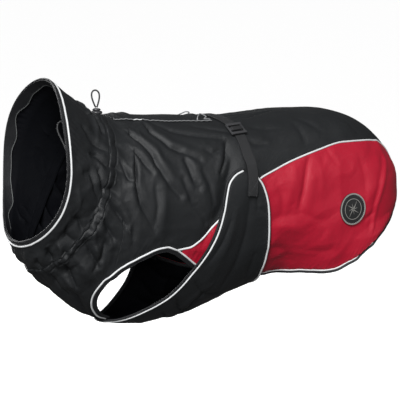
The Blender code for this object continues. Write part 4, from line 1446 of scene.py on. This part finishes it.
makePlacket()
makeStraps()
for sideName, sideFlip in bothSides:
    makeSlider(sideName, sideFlip)
makeBadge()
stitches("blackStitches", stitchRuns, threadBlack)
print("placket, belt, badge and stitches made")

# The drawcord at the withers

toggle = {
    "at": (-8.2, -5.0, 3.4), "diameter": 14.6, "height": 7.4, "sides": 48,
    "profile": [  # radius and height as shares
        (0, 0), (0.66, 0), (0.84, 0.06), (0.97, 0.18), (1, 0.34), (0.96, 0.47), (0.8, 0.56), (0.66, 0.59),
        (0.6, 0.62), (0.6, 0.68), (0.7, 0.71), (0.72, 0.78), (0.66, 0.88), (0.5, 0.97), (0.3, 1), (0, 1),
    ],
}
cordLoop = {"height": 21.5, "width": 11.5, "diameter": 2.0, "gap": 0.2, "leans": -20}


def makeToggle():
    bm = bmesh.new()
    r, h, sides = toggle["diameter"] / 2, toggle["height"], toggle["sides"]
    rings = []
    for wide, high in toggle["profile"]:
        turns = [2 * math.pi * k / sides for k in range(sides if wide else 1)]  # one point on the axis
        places = [(wide * r * math.cos(turn), wide * r * math.sin(turn), high * h) for turn in turns]
        rings.append([bm.verts.new(Vector(place) * mm) for place in places])
    for lower, upper in zip(rings, rings[1:]):
        for k in range(sides):
            corners = [ring[step % len(ring)] for ring, step in (
                (lower, k), (lower, k + 1), (upper, k + 1), (upper, k),
            )]
            bm.faces.new(list(dict.fromkeys(corners)))  # a point on the axis counts once
    mesh = meshFromBmesh("cordToggle", bm, Matrix.Translation(Vector(toggle["at"]) * mm), sharp=50)
    newPiece("cordToggle", mesh, ["neck_cord_lock"], [plasticBlack])


def cordAlong(name, points, diameter, replaces=()):
    curve = bpy.data.curves.new(name, "CURVE")
    curve.dimensions = "3D"
    curve.bevel_depth = diameter / 2 * mm
    curve.bevel_resolution = 4
    curve.use_fill_caps = True
    spline = curve.splines.new("POLY")
    spline.points.add(len(points) - 1)
    for point, place in zip(spline.points, points):
        point.co = (*(Vector(place) * mm), 1)
    spline.use_smooth = True
    cord = newPiece(name, curve, replaces, [cordBlack])


def makeCordLoop():
    foot = Vector(toggle["at"]) + Vector((0, 0, toggle["height"] + cordLoop["gap"]))
    angle = math.radians(cordLoop["leans"])
    lean = Vector((math.cos(angle), math.sin(angle), 0))
    points = []
    for turn in np.linspace(0.06, 0.94, 33):
        angle = turn * 2 * math.pi
        high = cordLoop["height"] * (1 - math.cos(angle)) / 2
        sideways = cordLoop["width"] / 2 * math.sin(angle) * (0.62 - 0.38 * math.cos(angle)) * 1.15
        points.append(foot + lean * (sideways - 0.06 * high) + Vector((0, 0, high)))
    low = min(point.z for point in points) - foot.z
    points = [point - Vector((0, 0, low - cordLoop["diameter"] * 0.35)) for point in points]
    cordAlong("neckCord", points, cordLoop["diameter"], ["neck_cord"])


collarLoop = {  # an elastic loop inside the mouth, both its ends sewn under the facing
    "path": [  # along, around, depth inside the form
        (5, 54, 1.6), (5, 54, 6), (5, 55, 10.5), (5.5, 60, 12.5), (6, 67, 9.5), (6, 74, 5.2), (6, 81, 1.6),
    ],
    "diameter": 1.6,
}


def makeCollarLoop():
    along, around, depth = splined(collarLoop["path"], 37).T
    points = bareForm(along, around) - outward(along, around) * depth[:, None]
    cordAlong("collarLoop", points, collarLoop["diameter"])


makeToggle()
makeCordLoop()
makeCollarLoop()
print("drawcord made")

# Floor and light

studio = {
    "floorAt": -0.62, "floorSize": 120.0, "pale": 0.95, "glow": 0.07, "world": 0.10,
    "sun": {"from": (-0.58, -0.72, 0.74), "strength": 4.6, "angle": 22},
    "lamps": [  # name, place, size, power
        ("sideLamp", (-1.7, -1.7, -0.1), 0.7, 22),
        ("fillLamp", (0.9, -2.0, 0.6), 1.0, 6),
        ("rimLamp", (-0.5, 0.9, 1.5), 0.9, 4),
        ("farLamp", (-0.3, 2.4, 0.5), 1.6, 52),
    ],
}


def addLamp(name, kind, place, toward, **values):
    data = bpy.data.lights.new(name, kind)
    for key, value in values.items():
        setattr(data, key, value)
    lamp = bpy.data.objects.new(name, data)
    lamp.location = place
    lamp.rotation_euler = (Vector(toward) - Vector(place)).to_track_quat("-Z", "Y").to_euler()
    bpy.context.scene.collection.objects.link(lamp)


def makeFloor():
    bpy.ops.mesh.primitive_plane_add(size=studio["floorSize"], location=(0, 0, studio["floorAt"]))
    floor = bpy.context.object
    floor.name = "floor"
    material, _, shader, _ = newMaterial("paleFloor", (studio["pale"],) * 3, 0.9)
    shader.inputs["Emission Color"].default_value = (1, 1, 1, 1)
    shader.inputs["Emission Strength"].default_value = studio["glow"]
    floor.data.materials.append(material)
    floor.visible_diffuse = floor.visible_glossy = False  # so that it doesn't light the coat from below


def makeWorld():
    world = bpy.data.worlds.new("paleStudio")
    world.use_nodes = True
    tree = world.node_tree
    light = tree.nodes["Background"]
    light.inputs["Color"].default_value = (1, 1, 1, 1)
    light.inputs["Strength"].default_value = studio["world"]
    pale = nodeIn(tree, "ShaderNodeBackground", 0, -200)  # what is seen past the floor's end
    pale.inputs["Color"].default_value = (*(studio["pale"],) * 3, 1)
    rays = nodeIn(tree, "ShaderNodeLightPath", 0, 300)
    either = nodeIn(tree, "ShaderNodeMixShader", 250, 100)
    wired(
        tree, (rays, "Is Camera Ray", either, 0), (light, 0, either, 1), (pale, 0, either, 2),
        (either, 0, tree.nodes["World Output"], "Surface"),
    )
    bpy.context.scene.world = world
    bpy.context.scene.view_settings.view_transform = "Standard"


def makeStudio():
    makeFloor()
    sun = studio["sun"]
    angle = math.radians(sun["angle"])
    addLamp("keySun", "SUN", sun["from"], (0, 0, 0), energy=sun["strength"], angle=angle)
    for name, place, size, power in studio["lamps"]:
        addLamp(name, "AREA", place, view["target"], shape="DISK", size=size, energy=power)
    makeWorld()


makeStudio()
print("studio made")
